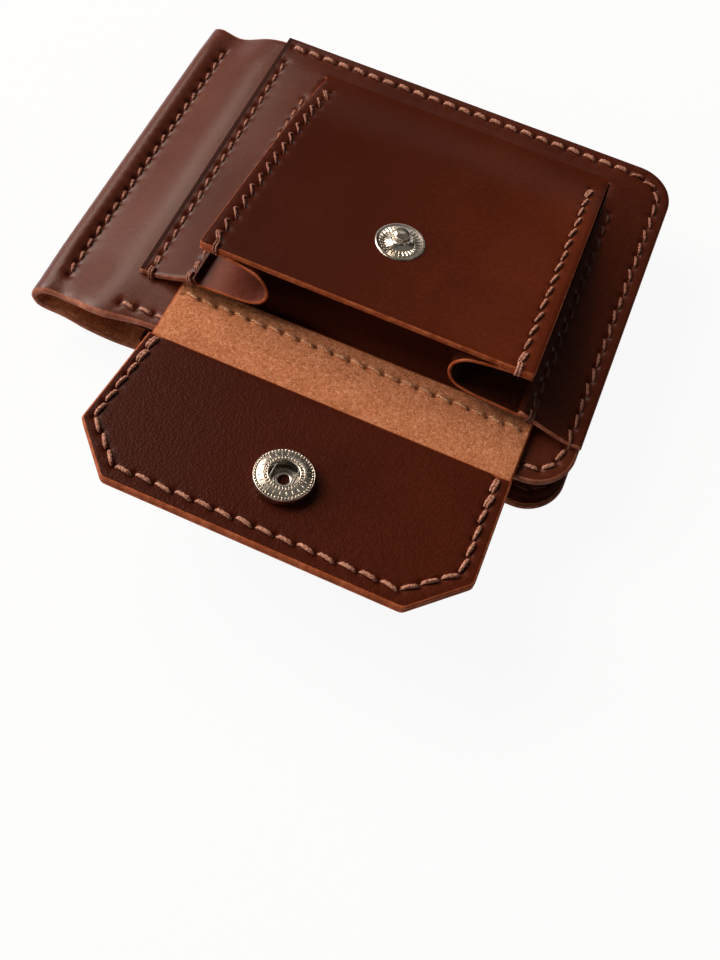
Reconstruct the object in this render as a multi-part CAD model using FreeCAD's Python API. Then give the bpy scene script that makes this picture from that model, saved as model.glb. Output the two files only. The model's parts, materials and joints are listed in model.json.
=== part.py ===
"""Leather money-clip wallet with an outside coin pocket, lying folded with the pocket's flap open.

Millimetres, +Z up.  X runs from the spine fold to the free edges, Y from the near edge, where the
flap hangs, to the far edge.  The origin is the bottom centre of the whole wallet, flap included.
The work is laid out from the spine tip (x = 0) and the near edge (y = 0) with the table at z = 0,
and moved to the origin when it is written.
"""
import FreeCAD, Part
import math
import os

V = FreeCAD.Vector
X_AXIS = V(1, 0, 0)
Y_AXIS = V(0, 1, 0)
Z_AXIS = V(0, 0, 1)

# ---------------------------------------------------------------- driving dimensions
depth = 85.0              # near edge to far edge
front_width = 119.5       # spine tip to the upper half's free edge
back_overhang = 1.2       # the lower half ends this far past the upper one
corner_r = 9.0            # rounded free corners

cover_t = 1.5             # outer cover leather
card_t = 1.0              # card slot leather
pocket_t = 1.4            # outer pocket panel and the coin pocket's front
flap_t = 1.2              # flap, whose root is sewn to the cover
lining_t = 1.0            # flap lining
gusset_t = 0.7            # coin pocket gussets
loop_t = 0.8              # money clip loop leather
seat = 0.05               # air left where one layer lies on the next

note_gap = 5.3            # room for notes between the two halves
fold_r = 2.45             # spine fold, radius to the middle of the leather
spine_height = 8.8        # middle of the spine fold above the table
back_flat = 23.5          # the lower half lies flat from here to its free edge
front_flat = 18.5         # and the upper half from here
valley_x = 6.6            # stitched valley beside the spine, on the upper half
valley_drop = 1.1         # how far the valley lies below the spine's crest

front_card_left = 21.0    # card slots start here on the upper half
back_card_left = 24.0     # and here on the lower one
upper_slot = 62.0         # height of the upper card slot, from the near edge
lower_slot = 46.0         # height of the lower card slot

pocket_left = 21.0        # outer pocket panel: left edge
pocket_near = 10.7        # and near edge, open for the quick-access card
pocket_rim = 3.0          # stitched rim that lies flat on the cover
window_left = 34.4        # cut-out that the coin pocket's front is cut from
window_margin = 14.3      # from the cut-out to the free edge
slit_margin = 9.0         # from the slits' far end, where the coin pocket's front bends, to the far edge
slit_gap = 0.6            # slit width each side
bend_air = 0.3            # air between the coin pocket's front and the panel at the bend
mouth_lift = 4.6          # pocket panel above the cover at the window's near corners

coin_near = 13.4          # near edge of the coin pocket's front, laid flat
coin_open = 9.5           # degrees, the front stands open
gusset_depth = 15.6       # from the front's edge in to the gusset's fold
gusset_stop = 8.0         # the gussets end this far before the slits do
gusset_hold = 0.8         # gusset under the window's edge
fold_share = 0.44         # largest radius of the gusset's fold, as a share of its opening
fold_steps = 7            # flat facets round the gusset's fold

flap_side = 3.9           # flap beyond the window on each side
seam_y = 9.5              # the seam that holds the flap's root, and the flap's hinge
root_lap = 4.0            # flap leather beyond that seam, inside the coin pocket
fold_length = 8.9         # strip that stands up when the flap is shut
bend_out = 1.0            # the flap starts to rise this far outside the near edge
lining_out = 2.5          # the lining starts this far outside the near edge
flap_length = 36.4        # from the flap's bend to its end
flap_chamfer = 10.0       # cut corners
flap_rise = 13.0          # degrees, the open flap's set
flap_droop = 0.9          # degrees below level when it is snapped shut

snap_from_end = 14.5      # snap socket centre to the flap's end
socket_r = 5.75
socket_h = 2.7
socket_bore = 2.9         # radius of the socket's mouth
socket_lip = 0.3          # height of the rolled lip round the mouth
cavity_r = 3.5            # radius of the hollow behind the lip
socket_floor = 0.35
spring_wire = 0.25        # radius of the retaining spring's wire
spring_half = 2.2         # each straight of that spring from the socket's axis
cap_r = 6.25
cap_h = 1.8
post_r = 1.5              # hollow post of the cap
post_wall = 0.4
post_clear = 0.1
flare_r = 2.2             # rim of the post, flared over the socket's floor
flare_h = 0.35
stud_r = 5.25
stud_rim = 0.65
stud_head = 1.9
stud_neck = 1.35
stud_h = 3.2
snap_gap = 0.1            # air over the stud's head when the snap is shut
rivet_r = 4.6
rivet_h = 0.6
shank_wall = 0.5          # stud's wall round the rivet's shank

rod_r = 0.9
rod_x = 12.0
rod_inset = 9.5           # rod's ends from the near and far edges
loop_inset = 5.0          # loop's ends from the rod's ends
loop_flange = 7.4         # from the rod to the flange's edge by the spine
knuckle_w = 2.0
knuckle_gap = 0.2         # knuckle's play beside the rod's head
knuckle_r = 1.7
rod_clear = 0.06
rod_head_r = 1.4
rod_head_w = 0.8
clip_reach = 38.0
clip_wire = 0.9
clip_corner = 5.0
coil_turns = 3            # turns of each spring; they fill the room between loop and knuckle
coil_clear = 0.1

# ---------------------------------------------------------------- worked out from them
back_width = front_width + back_overhang
card_stack = 3 * card_t
back_inside = cover_t + card_stack            # inner face of the lower half's card slots
front_inside = back_inside + note_gap         # inner face of the upper half's card slots
cover_under = front_inside + card_stack       # underside of the upper half's cover
cover_top = cover_under + cover_t
flap_top = cover_top + flap_t
fold_x = fold_r + cover_t / 2                 # centre of the spine fold
crest = spine_height + fold_r + cover_t / 2
window_right = front_width - window_margin
window_mid = (window_left + window_right) / 2
slit_far = depth - slit_margin
coin_left = window_left + slit_gap
coin_right = window_right - slit_gap
flap_left = window_left - flap_side
flap_right = window_right + flap_side
hinge_z = cover_top + flap_t / 2              # middle of the flap leather
fold_y = seam_y - fold_length                 # second bend of the flap
coin_length = slit_far - coin_near
gusset_far = slit_far - gusset_stop
lift_run = min(window_left - pocket_left, front_width - window_right) - pocket_rim
slit_lift = (flap_t + gusset_t + 3 * seat) / (1 - gusset_hold / lift_run)
coin_axis_z = cover_top + slit_lift + pocket_t / 2
snap_on_flap = flap_length - snap_from_end    # from the flap's bend
lining_top = flap_top + lining_t
valley_z = crest - valley_drop
loop_r = rod_r + seat + loop_t
rod_z = valley_z - cover_t - seat - loop_r
rod_near = rod_inset
rod_length = depth - 2 * rod_inset
loop_near = rod_inset + loop_inset
loop_length = rod_length - 2 * loop_inset

# where the socket comes to when the flap is shut, and so the stud's place and the front's last angle
droop = math.radians(flap_droop)
bend_run = fold_y + bend_out
bend_slope = math.radians(flap_rise - flap_droop)
shut_y = seam_y + bend_run * math.cos(bend_slope) + snap_on_flap * math.cos(droop)
shut_z = hinge_z + fold_length + bend_run * math.sin(bend_slope) - snap_on_flap * math.sin(droop)
snap_stack = stud_h + snap_gap + flare_h + socket_floor + lining_t + flap_t / 2
coin_snap = slit_far - shut_y                 # stud's axis from the front's bend
coin_shut = math.degrees(math.atan2(shut_z - snap_stack - coin_axis_z - pocket_t / 2, coin_snap))
coin_snap_y = slit_far - coin_snap


def wire_of(points):
    """Closed wire of straight edges."""
    return Part.makePolygon(list(points) + [points[0]])


def prism(points, along):
    """Solid from a closed polygon, pushed along a vector."""
    return Part.Face(wire_of(points)).extrude(along)


def outline(x0, x1, y0, y1, near_r, far_r, z):
    """Closed outline whose two corners at x1 may be round."""
    edges = []
    at = V(x0, y0, z)

    def line_to(x, y):
        nonlocal at
        end = V(x, y, z)
        edges.append(Part.LineSegment(at, end).toShape())
        at = end

    def arc_to(cx, cy, r, mid_deg, end_deg):
        nonlocal at
        mid, end = [V(cx + r * math.cos(math.radians(a)), cy + r * math.sin(math.radians(a)), z)
                    for a in (mid_deg, end_deg)]
        edges.append(Part.Arc(at, mid, end).toShape())
        at = end

    line_to(x1 - near_r, y0)
    if near_r:
        arc_to(x1 - near_r, y0 + near_r, near_r, -45, 0)
    line_to(x1, y1 - far_r)
    if far_r:
        arc_to(x1 - far_r, y1 - far_r, far_r, 45, 90)
    line_to(x0, y1)
    line_to(x0, y0)
    return Part.Wire(edges)


def plate(x0, x1, y0, y1, z0, thick, near_r=0.0, far_r=0.0):
    """Flat sheet with its free corners rounded."""
    return Part.Face(outline(x0, x1, y0, y1, near_r, far_r, z0)).extrude(V(0, 0, thick))


def turned(profile, origin, axis):
    """Solid turned from (radius, height) points, standing at origin along axis."""
    face = Part.Face(wire_of([V(r, 0, h) for r, h in profile]))
    solid = face.revolve(V(0, 0, 0), Z_AXIS, 360)
    solid.Placement = FreeCAD.Placement(origin, FreeCAD.Rotation(Z_AXIS, axis))
    return solid


def rod_between(a, b, r):
    return Part.makeCylinder(r, (b - a).Length, a, b - a)


# ---------------------------------------------------------------- cover
def s_bend(start, end, lift):
    """Two tangent arcs between (x, z) points where the curve lies level, lifted by lift along its normal.

    Returns the arcs' end points and middle points, in order."""
    (x0, z0), (x1, z1) = start, end
    run = x1 - x0
    rise = z1 - z0
    way = 1 if rise > 0 else -1
    r = (run * run + rise * rise) / (4 * abs(rise))
    steepest = math.asin(run / 2 / r)

    def first(a):
        return V(x0 + (r - way * lift) * math.sin(a), 0, z0 + way * r - way * (r - way * lift) * math.cos(a))

    def second(a):
        return V(x1 - (r + way * lift) * math.sin(a), 0, z1 - way * r + way * (r + way * lift) * math.cos(a))

    return [first(0), first(steepest / 2), first(steepest), second(steepest / 2), second(0)]


def bent_line(keys, lift):
    """Arcs through all the keys, lifted along the normal."""
    edges = []
    for start, end in zip(keys, keys[1:]):
        p = s_bend(start, end, lift)
        edges += [Part.Arc(p[0], p[1], p[2]).toShape(), Part.Arc(p[2], p[3], p[4]).toShape()]
    return edges


def cover_half(keys, side, width):
    """One half of the cover: its outer face follows the keys and then runs flat to the free edge.

    side is -1 where the leather hangs below its outer face and +1 where it stands above."""
    thick = side * cover_t
    (x0, z0), (x1, z1) = keys[0], keys[-1]
    free = [V(x1, 0, z1), V(width, 0, z1), V(width, 0, z1 + thick), V(x1, 0, z1 + thick)]
    edges = bent_line(keys, 0) + bent_line(keys, thick)
    edges += [Part.LineSegment(a, b).toShape() for a, b in zip(free, free[1:])]
    edges += [Part.LineSegment(V(x0, 0, z0 + thick), V(x0, 0, z0)).toShape()]
    sheet = Part.Face(Part.Wire(Part.__sortEdges__(edges))).extrude(V(0, depth, 0))
    trim = plate(fold_x, width, 0, depth, -cover_t, 2 * cover_top, corner_r, corner_r)
    return sheet.common(trim)


def front_cover():
    return cover_half([(fold_x, crest), (valley_x, valley_z), (front_flat, cover_top)], -1, front_width)


def back_cover():
    return cover_half([(fold_x, 2 * spine_height - crest), (back_flat, 0)], 1, back_width)


def spine_cover():
    """Half tube that joins the two halves."""
    def point(r, deg):
        a = math.radians(deg)
        return V(fold_x + r * math.cos(a), 0, spine_height + r * math.sin(a))
    inner_r = fold_r - cover_t / 2
    outer_r = fold_r + cover_t / 2
    edges = [Part.Arc(point(outer_r, 90), point(outer_r, 180), point(outer_r, 270)).toShape(),
             Part.LineSegment(point(outer_r, 270), point(inner_r, 270)).toShape(),
             Part.Arc(point(inner_r, 270), point(inner_r, 180), point(inner_r, 90)).toShape(),
             Part.LineSegment(point(inner_r, 90), point(outer_r, 90)).toShape()]
    return Part.Face(Part.Wire(edges)).extrude(V(0, depth, 0))


# ---------------------------------------------------------------- card slots
def card_layers(left, width, z_cover, side):
    """Base and two stepped slots, stacked away from the cover; side is +1 upwards, -1 downwards."""
    layers = []
    for i, top in enumerate((depth, upper_slot, lower_slot)):
        z = z_cover + side * i * card_t - (card_t if side < 0 else 0)
        far_r = corner_r if i == 0 else 0.0
        layers.append(plate(left, width, 0, top, z, card_t, corner_r, far_r))
    return layers


# ---------------------------------------------------------------- outer pocket panel
def pocket_under(x, y):
    """Height of the pocket panel's underside beside the window: two flat facets that meet on a diagonal."""
    share_y = (y - pocket_near) / (slit_far - pocket_near)
    if x < window_mid:
        share_x = (x - pocket_left - pocket_rim) / (window_left - pocket_left - pocket_rim)
    else:
        share_x = (front_width - pocket_rim - x) / (front_width - pocket_rim - window_right)
    return cover_top + slit_lift * share_x + (mouth_lift - slit_lift) * max(0.0, share_x - share_y)


def pocket_panel():
    """Panel sewn flat round its rim and lifted by the gussets round its window."""
    rim_l = pocket_left + pocket_rim
    rim_r = front_width - pocket_rim
    rim_f = depth - pocket_rim
    low = cover_top
    slit = cover_top + slit_lift
    mouth = cover_top + mouth_lift
    near_l, near_r = V(rim_l, pocket_near, low), V(rim_r, pocket_near, low)
    far_l, far_r = V(rim_l, rim_f, low), V(rim_r, rim_f, low)
    mouth_l, mouth_r = V(window_left, pocket_near, mouth), V(window_right, pocket_near, mouth)
    slit_l, slit_r = V(window_left, slit_far, slit), V(window_right, slit_far, slit)
    faces = [[V(pocket_left, pocket_near, low), near_l, far_l, V(pocket_left, rim_f, low)],
             [near_r, V(front_width, pocket_near, low), V(front_width, rim_f, low), far_r],
             [V(pocket_left, rim_f, low), V(front_width, rim_f, low), V(front_width, depth, low),
              V(pocket_left, depth, low)],
             [near_l, mouth_l, slit_l], [near_l, slit_l, far_l],
             [near_r, slit_r, mouth_r], [near_r, far_r, slit_r],
             [far_l, slit_l, slit_r, far_r]]
    tiles = [prism(f, V(0, 0, pocket_t)) for f in faces]
    panel = tiles[0].fuse(tiles[1:]).removeSplitter()
    trim = plate(pocket_left, front_width, pocket_near, depth, 0, 2 * mouth, 0, corner_r)
    return panel.common(trim)


# ---------------------------------------------------------------- coin pocket
def tilted(shape, angle):
    """Turn a part of the coin pocket's front about its bend; it opens upwards."""
    shape.rotate(V(0, slit_far, coin_axis_z), X_AXIS, -angle)
    return shape


def coin_under(y):
    """Height of the open coin pocket front's underside."""
    a = math.radians(coin_open)
    return coin_axis_z + (slit_far - y) * math.tan(a) - pocket_t / 2 / math.cos(a)


def coin_front():
    front = plate(coin_left, coin_right, slit_far - coin_length, slit_far - bend_air,
                  coin_axis_z - pocket_t / 2, pocket_t)
    hole = Part.makeCylinder(post_r, 3 * pocket_t, V(window_mid, coin_snap_y, coin_axis_z - 1.5 * pocket_t))
    return tilted(front.cut(hole), coin_open)


def gusset_section(y, side):
    """Corners of the gusset's lying U at one y: lower leg, round fold, upper leg.

    side is +1 on the left and -1 on the right."""
    half = gusset_t / 2
    edge = coin_left if side > 0 else coin_right
    window = window_left if side > 0 else window_right
    upper_z = coin_under(y) - seat - half
    lower_z = flap_top + seat + half
    hold_x = window - side * gusset_hold
    start = V(hold_x, y, pocket_under(hold_x, y) - seat - half)
    radius = min(fold_share * (upper_z - start.z), 0.5 * (upper_z - lower_z))
    centre = V(edge + side * (gusset_depth - radius), y, upper_z - radius)
    reach = centre - start
    slope = math.atan2(reach.z, side * reach.x) - math.asin(min(1.0, radius / reach.Length))

    def leather_face(offset):
        """Points along one face, from the lower leg round the fold to the upper leg."""
        low = slope - math.pi / 2
        points = [start + V(side * math.cos(low), 0, math.sin(low)) * offset]
        for i in range(fold_steps + 1):
            a = low + (math.pi / 2 - low) * i / fold_steps
            points.append(centre + V(side * math.cos(a), 0, math.sin(a)) * (radius + offset))
        return points + [V(edge, y, centre.z + radius + offset)]

    return leather_face(half) + leather_face(-half)[::-1]


def gusset(side):
    """Folded strip that closes the coin pocket's side, cut back along a slant at its mouth."""
    near = gusset_section(pocket_near, side)
    far = gusset_section(gusset_far, side)
    faces = [Part.Face(wire_of(near)), Part.Face(wire_of(far))]
    for i in range(len(near)):
        a, b, c, d = near[i - 1], near[i], far[i], far[i - 1]
        faces += [Part.Face(wire_of([a, b, c])), Part.Face(wire_of([a, c, d]))]
    body = Part.Solid(Part.Shell(faces))
    if body.Volume < 0:
        body.reverse()
    top_y = slit_far - coin_length * math.cos(math.radians(coin_open))
    low_z = cover_top + mouth_lift - gusset_t
    top_z = coin_under(top_y)
    slant = (top_y - pocket_near) / (top_z - low_z)
    below = cover_top
    above = 2 * top_z
    corners = [V(0, pocket_near, below), V(0, pocket_near, low_z), V(0, pocket_near + slant * (above - low_z), above),
               V(0, depth, above), V(0, depth, below)]
    return body.common(prism(corners, V(front_width, 0, 0)))


def flap_root():
    """Flap's leather inside the coin pocket, beyond the hinge seam; the cover is the pocket's back."""
    return plate(flap_left, flap_right, seam_y, seam_y + root_lap, cover_top, flap_t)


# ---------------------------------------------------------------- flap
def risen(shape):
    """Turn a flat flap part up about its bend to the open flap's set."""
    shape.rotate(V(0, -bend_out, hinge_z), X_AXIS, -flap_rise)
    return shape


def flap_plate(start, z0, thick):
    """Flap outline with cut corners, start measured out from the flap's bend."""
    y0 = -bend_out - start
    y1 = -bend_out - flap_length
    c = flap_chamfer
    corners = [V(flap_left, y0, z0), V(flap_left, y1 + c, z0), V(flap_left + c, y1, z0),
               V(flap_right - c, y1, z0), V(flap_right, y1 + c, z0), V(flap_right, y0, z0)]
    body = prism(corners, V(0, 0, thick))
    hole_r = post_r + post_clear
    return body.cut(Part.makeCylinder(hole_r, 3 * thick, V(window_mid, -bend_out - snap_on_flap, z0 - thick)))


def flap_outer():
    level = plate(flap_left, flap_right, -bend_out, fold_y, cover_top, flap_t)
    bend = rod_between(V(flap_left, -bend_out, hinge_z), V(flap_right, -bend_out, hinge_z), flap_t / 2)
    return level.fuse([bend, risen(flap_plate(0, cover_top, flap_t))]).removeSplitter()


def flap_strip():
    return plate(flap_left, flap_right, fold_y, seam_y, cover_top, flap_t)


def flap_lining():
    return risen(flap_plate(lining_out - bend_out, flap_top, lining_t))


# ---------------------------------------------------------------- snap
def snap_cap():
    """Domed cap on the flap's outer face, with its hollow post flared inside the socket."""
    top = flap_t + lining_t + socket_floor + flare_h
    bore = post_r - post_wall
    profile = [(bore, -0.5), (bore, top), (flare_r, top), (flare_r, top - flare_h), (post_r, top - flare_h),
               (post_r, 0), (cap_r - 0.3, 0), (cap_r, -0.5), (0.8 * cap_r, -0.8 * cap_h), (0.4 * cap_r, -cap_h),
               (0, -cap_h), (0, -0.5)]
    return risen(turned(profile, V(window_mid, -bend_out - snap_on_flap, cover_top), Z_AXIS))


def snap_socket():
    """Ring with a rolled mouth and a hollow that holds the retaining spring."""
    hole_r = post_r + post_clear
    h = socket_h
    under_lip = h - socket_lip
    profile = [(hole_r, 0), (socket_r - 0.5, 0), (socket_r, 0.5), (socket_r, h - 0.9), (socket_r - 0.6, h - 0.2),
               (socket_bore + 0.8, h), (socket_bore + 0.2, h - 0.05), (socket_bore, under_lip),
               (cavity_r, under_lip), (cavity_r, socket_floor), (hole_r, socket_floor)]
    return risen(turned(profile, V(window_mid, -bend_out - snap_on_flap, lining_top), Z_AXIS))


def socket_spring():
    """Wire spring with two straights that close behind the stud's head, joined by a bow; six-sided wire."""
    z = lining_top + socket_h - socket_lip - seat - spring_wire
    y = -bend_out - snap_on_flap
    ring_r = cavity_r - seat - spring_wire
    rise = math.sqrt(ring_r ** 2 - spring_half ** 2)
    half_bow = math.degrees(math.asin(spring_half / ring_r))

    def six_sided(x, y, across):
        corners = []
        for i in range(6):
            a = math.radians(60 * i)
            corners.append(V(x, y, z) + across * (spring_wire * math.cos(a)) + V(0, 0, spring_wire * math.sin(a)))
        return corners

    bow = Part.Face(wire_of(six_sided(window_mid + spring_half, y + rise, V(spring_half, rise, 0).normalize())))
    bow = bow.revolve(V(window_mid, y, z), Z_AXIS, 2 * half_bow)
    straights = [prism(six_sided(window_mid + x, y - rise, X_AXIS), V(0, 2 * rise, 0))
                 for x in (-spring_half, spring_half)]
    return risen(bow.fuse(straights))


def snap_stud():
    """Flange with a raised rim, a neck and a round head; it is hollow below for the rivet's shank."""
    bore = stud_neck - shank_wall
    h = stud_h
    profile = [(bore, 0), (stud_r - 0.2, 0), (stud_r, 0.3), (stud_r - 0.2, stud_rim), (stud_r - 0.7, stud_rim - 0.2),
               (stud_neck + 0.8, 0.45), (stud_neck, 1.0), (stud_neck, h - 1.3), (stud_head, h - 0.9),
               (stud_head - 0.2, h - 0.3), (stud_head - 0.7, h), (0, h), (0, 1.0), (bore, 1.0)]
    return tilted(turned(profile, V(window_mid, coin_snap_y, coin_axis_z + pocket_t / 2), Z_AXIS), coin_open)


def stud_rivet():
    """Rivet inside the coin pocket whose shank holds the stud."""
    shank = post_r - post_clear
    tip = stud_neck - shank_wall - seat
    profile = [(0, -rivet_h), (0.6 * rivet_r, -rivet_h), (rivet_r, -0.15), (rivet_r, 0), (shank, 0),
               (shank, pocket_t - seat), (tip, pocket_t - seat), (tip, pocket_t + 0.9), (0, pocket_t + 0.9)]
    return tilted(turned(profile, V(window_mid, coin_snap_y, coin_axis_z - pocket_t / 2), Z_AXIS), coin_open)


# ---------------------------------------------------------------- money clip
def clip_loop():
    """Strip folded round the rod; its two layers are sewn flat under the spine row."""
    y0 = loop_near
    flange = plate(rod_x - loop_flange, rod_x, y0, y0 + loop_length, rod_z + loop_r - 2 * loop_t, 2 * loop_t)
    solid = flange.fuse(rod_between(V(rod_x, y0, rod_z), V(rod_x, y0 + loop_length, rod_z), loop_r))
    return solid.cut(rod_between(V(rod_x, y0 - 1, rod_z), V(rod_x, y0 + loop_length + 1, rod_z), rod_r + seat))


def clip_rod():
    """Rod through the loop, with a head at each end."""
    a = V(rod_x, rod_near, rod_z)
    b = V(rod_x, rod_near + rod_length, rod_z)
    along = V(0, rod_head_w, 0)
    return rod_between(a, b, rod_r).fuse([rod_between(a, a + along, rod_head_r), rod_between(b - along, b, rod_head_r)])


def knuckle_y():
    """Middle of the near knuckle and of the far one."""
    inset = rod_head_w + knuckle_gap + knuckle_w / 2
    return rod_near + inset, rod_near + rod_length - inset


def clip_bail():
    """Wire frame that turns on the rod and holds the notes."""
    near, far = knuckle_y()
    end_x = rod_x + clip_reach
    bend = end_x - clip_corner
    start = rod_x + knuckle_r - 0.3
    parts = [rod_between(V(start, y, rod_z), V(bend, y, rod_z), clip_wire) for y in (near, far)]
    parts.append(rod_between(V(end_x, near + clip_corner, rod_z), V(end_x, far - clip_corner, rod_z), clip_wire))
    for y, turn in ((near + clip_corner, 270), (far - clip_corner, 0)):
        corner = Part.makeTorus(clip_corner, clip_wire, V(0, 0, 0), Z_AXIS, -180, 180, 90)
        corner.rotate(V(0, 0, 0), Z_AXIS, turn)
        corner.translate(V(bend, y, rod_z))
        parts.append(corner)
    for y in (near, far):
        a = V(rod_x, y - knuckle_w / 2, rod_z)
        parts.append(rod_between(a, a + V(0, knuckle_w, 0), knuckle_r))
    frame = parts[0].fuse(parts[1:])
    for y in (near, far):
        a = V(rod_x, y - knuckle_w, rod_z)
        frame = frame.cut(rod_between(a, a + V(0, 2 * knuckle_w, 0), rod_r + rod_clear))
    return frame


def clip_spring(at_far):
    """Close-wound coil on the rod between the loop and a knuckle; its turns lie side by side."""
    near, far = knuckle_y()
    start = near + knuckle_w / 2 + seat
    length = loop_near - seat - start
    pitch = length / coil_turns
    inner = rod_r + coil_clear
    outer = inner + pitch
    profile = [(inner, 0), (outer - 0.3 * pitch, 0)]
    for i in range(coil_turns):
        profile += [(outer, (i + 0.3) * pitch), (outer, (i + 0.7) * pitch), (outer - 0.3 * pitch, (i + 1) * pitch)]
    profile += [(inner, length)]
    if at_far:
        start = depth - start - length
    return turned(profile, V(rod_x, start, rod_z), Y_AXIS)


# ---------------------------------------------------------------- write the parts
back_cards = card_layers(back_card_left, back_width, cover_t, 1)
front_cards = card_layers(front_card_left, front_width, cover_under, -1)
nodes = {
    "cover_back": back_cover(),
    "cover_spine": spine_cover(),
    "cover_front": front_cover(),
    "card_base_back": back_cards[0],
    "card_slot_upper_back": back_cards[1],
    "card_slot_lower_back": back_cards[2],
    "card_base_front": front_cards[0],
    "card_slot_upper_front": front_cards[1],
    "card_slot_lower_front": front_cards[2],
    "pocket_panel": pocket_panel(),
    "flap_root": flap_root(),
    "coin_front_panel": coin_front(),
    "gusset_left": gusset(1),
    "gusset_right": gusset(-1),
    "flap_strip": flap_strip(),
    "flap_outer": flap_outer(),
    "flap_lining": flap_lining(),
    "snap_cap": snap_cap(),
    "snap_socket": snap_socket(),
    "socket_spring": socket_spring(),
    "snap_stud": snap_stud(),
    "stud_rivet": stud_rivet(),
    "clip_loop": clip_loop(),
    "clip_rod": clip_rod(),
    "clip_bail": clip_bail(),
    "clip_spring_near": clip_spring(False),
    "clip_spring_far": clip_spring(True),
}

rise = math.radians(flap_rise)
flap_reach = bend_out + flap_length * math.cos(rise) + (flap_t / 2) * math.sin(rise)
to_origin = V(-back_width / 2, (flap_reach - depth) / 2, 0)
os.makedirs("parts", exist_ok=True)
for name, shape in nodes.items():
    shape.translate(to_origin)
    shape.exportStep(f"parts/{name}.step")

turn_total = 180.0 + flap_droop - flap_rise
print("nodes", len(nodes))
print("flap_fold axis", V(0, seam_y, hinge_z) + to_origin)
print("flap_turn axis", V(0, fold_y, hinge_z) + to_origin, "degrees", turn_total - 90.0)
print("coin_front axis", V(0, slit_far, coin_axis_z) + to_origin, "degrees", coin_open - coin_shut)
print("snap shuts at", V(window_mid, shut_y, shut_z) + to_origin)
print("spine axes", V(fold_x, 0, spine_height - fold_r) + to_origin, V(fold_x, 0, spine_height + fold_r) + to_origin)
print("clip axis", V(rod_x, 0, rod_z) + to_origin)
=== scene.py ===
# %% [markdown]
# # A leather money-clip wallet with a coin pocket
# The real thing is a folded piece of waxed leather with card slots, a spring clip for notes and a
# coin pocket on the outside whose flap lies open.  Everything here is made of sheets of leather,
# thread and a little metal, so most of the work is one good way of cutting a sheet and one good
# way of laying a stitch.  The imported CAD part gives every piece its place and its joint, and it
# is loaded first, into an empty file.

# %% Load the frame
import json
import math

import bmesh
import bpy
import numpy as np
from mathutils import Matrix, Vector
from mathutils.geometry import delaunay_2d_cdt

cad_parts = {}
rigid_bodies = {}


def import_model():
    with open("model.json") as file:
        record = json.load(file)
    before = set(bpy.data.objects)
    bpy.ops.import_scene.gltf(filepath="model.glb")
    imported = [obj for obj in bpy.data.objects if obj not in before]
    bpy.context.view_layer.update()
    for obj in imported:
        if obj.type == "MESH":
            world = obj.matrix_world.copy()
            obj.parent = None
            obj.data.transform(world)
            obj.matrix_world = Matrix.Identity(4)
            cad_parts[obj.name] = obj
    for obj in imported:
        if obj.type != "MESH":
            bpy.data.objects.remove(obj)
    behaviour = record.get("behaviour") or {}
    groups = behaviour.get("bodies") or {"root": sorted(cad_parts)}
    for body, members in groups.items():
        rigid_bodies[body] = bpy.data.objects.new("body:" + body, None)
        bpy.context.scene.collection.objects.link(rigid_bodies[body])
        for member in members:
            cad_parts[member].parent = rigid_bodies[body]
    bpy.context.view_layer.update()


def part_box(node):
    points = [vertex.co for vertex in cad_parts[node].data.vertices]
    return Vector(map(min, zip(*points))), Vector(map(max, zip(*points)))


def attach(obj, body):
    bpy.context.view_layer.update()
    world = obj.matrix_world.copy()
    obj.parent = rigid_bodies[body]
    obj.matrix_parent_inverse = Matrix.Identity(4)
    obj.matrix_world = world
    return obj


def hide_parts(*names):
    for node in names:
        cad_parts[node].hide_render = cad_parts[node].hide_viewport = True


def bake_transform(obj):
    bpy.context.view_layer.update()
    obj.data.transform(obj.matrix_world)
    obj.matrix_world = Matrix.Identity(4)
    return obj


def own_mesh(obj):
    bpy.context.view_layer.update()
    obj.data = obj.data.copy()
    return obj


for leftover in list(bpy.data.objects):
    bpy.data.objects.remove(leftover)
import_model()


def mesh_count():
    """Mesh objects in the file."""
    return len([o for o in bpy.data.objects if o.type == "MESH"])


CAD_MESHES = mesh_count()

# %% [markdown]
# A leather worker measures in millimetres from the spine fold and the near edge.  The frame is in
# metres round the object's middle.  One function turns the first into the second, and the
# cover's own box in the frame says how far apart the two are.

# %% Millimetres on the bench
FRONT_WIDTH, BACK_WIDTH, DEPTH = 119.5, 120.7, 85.0
cover_lo, cover_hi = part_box("cover_front")
BENCH = np.array([FRONT_WIDTH - cover_hi.x * 1000, -cover_lo.y * 1000, 0.0])


def metres(points):
    """Bench millimetres to frame metres."""
    return (np.asarray(points, float) - BENCH) / 1000


def lengths(vectors):
    """Length of each row."""
    return np.linalg.norm(vectors, axis=1)


def running(line):
    """Distance along a line at each of its points, from its start."""
    return np.concatenate([[0], np.cumsum(lengths(np.diff(line, axis=0)))])


def sampled(at, places, line):
    """The line's 2-D points at any distance along it."""
    return np.stack([np.interp(at, places, line[:, k]) for k in (0, 1)], -1)


def smooth(t):
    """0 to 1 with level ends."""
    t = np.clip(t, 0, 1)
    return t * t * (3 - 2 * t)


print("bench zero is at", np.round(metres([0, 0, 0]), 4))

# %% [markdown]
# ## Camera
# The view looks down steeply from the near side, a little turned and rolled, with the object in
# the upper part of a tall picture.  The camera is placed by its turn, height, roll and distance
# from one point of the wallet, which is how one sets up a shot by hand.

# %% Camera
LOOK_AT = np.array([69.69, 48.13, 15.8])
TURN, HEIGHT, ROLL = (math.radians(a) for a in (14.91, 67.94, 9.01))
DISTANCE = 186.8
ASIDE, BELOW = 13.138, 57.131           # the point sits right of and above the picture's middle
LENS, SENSOR = 31.83, 36

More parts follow.
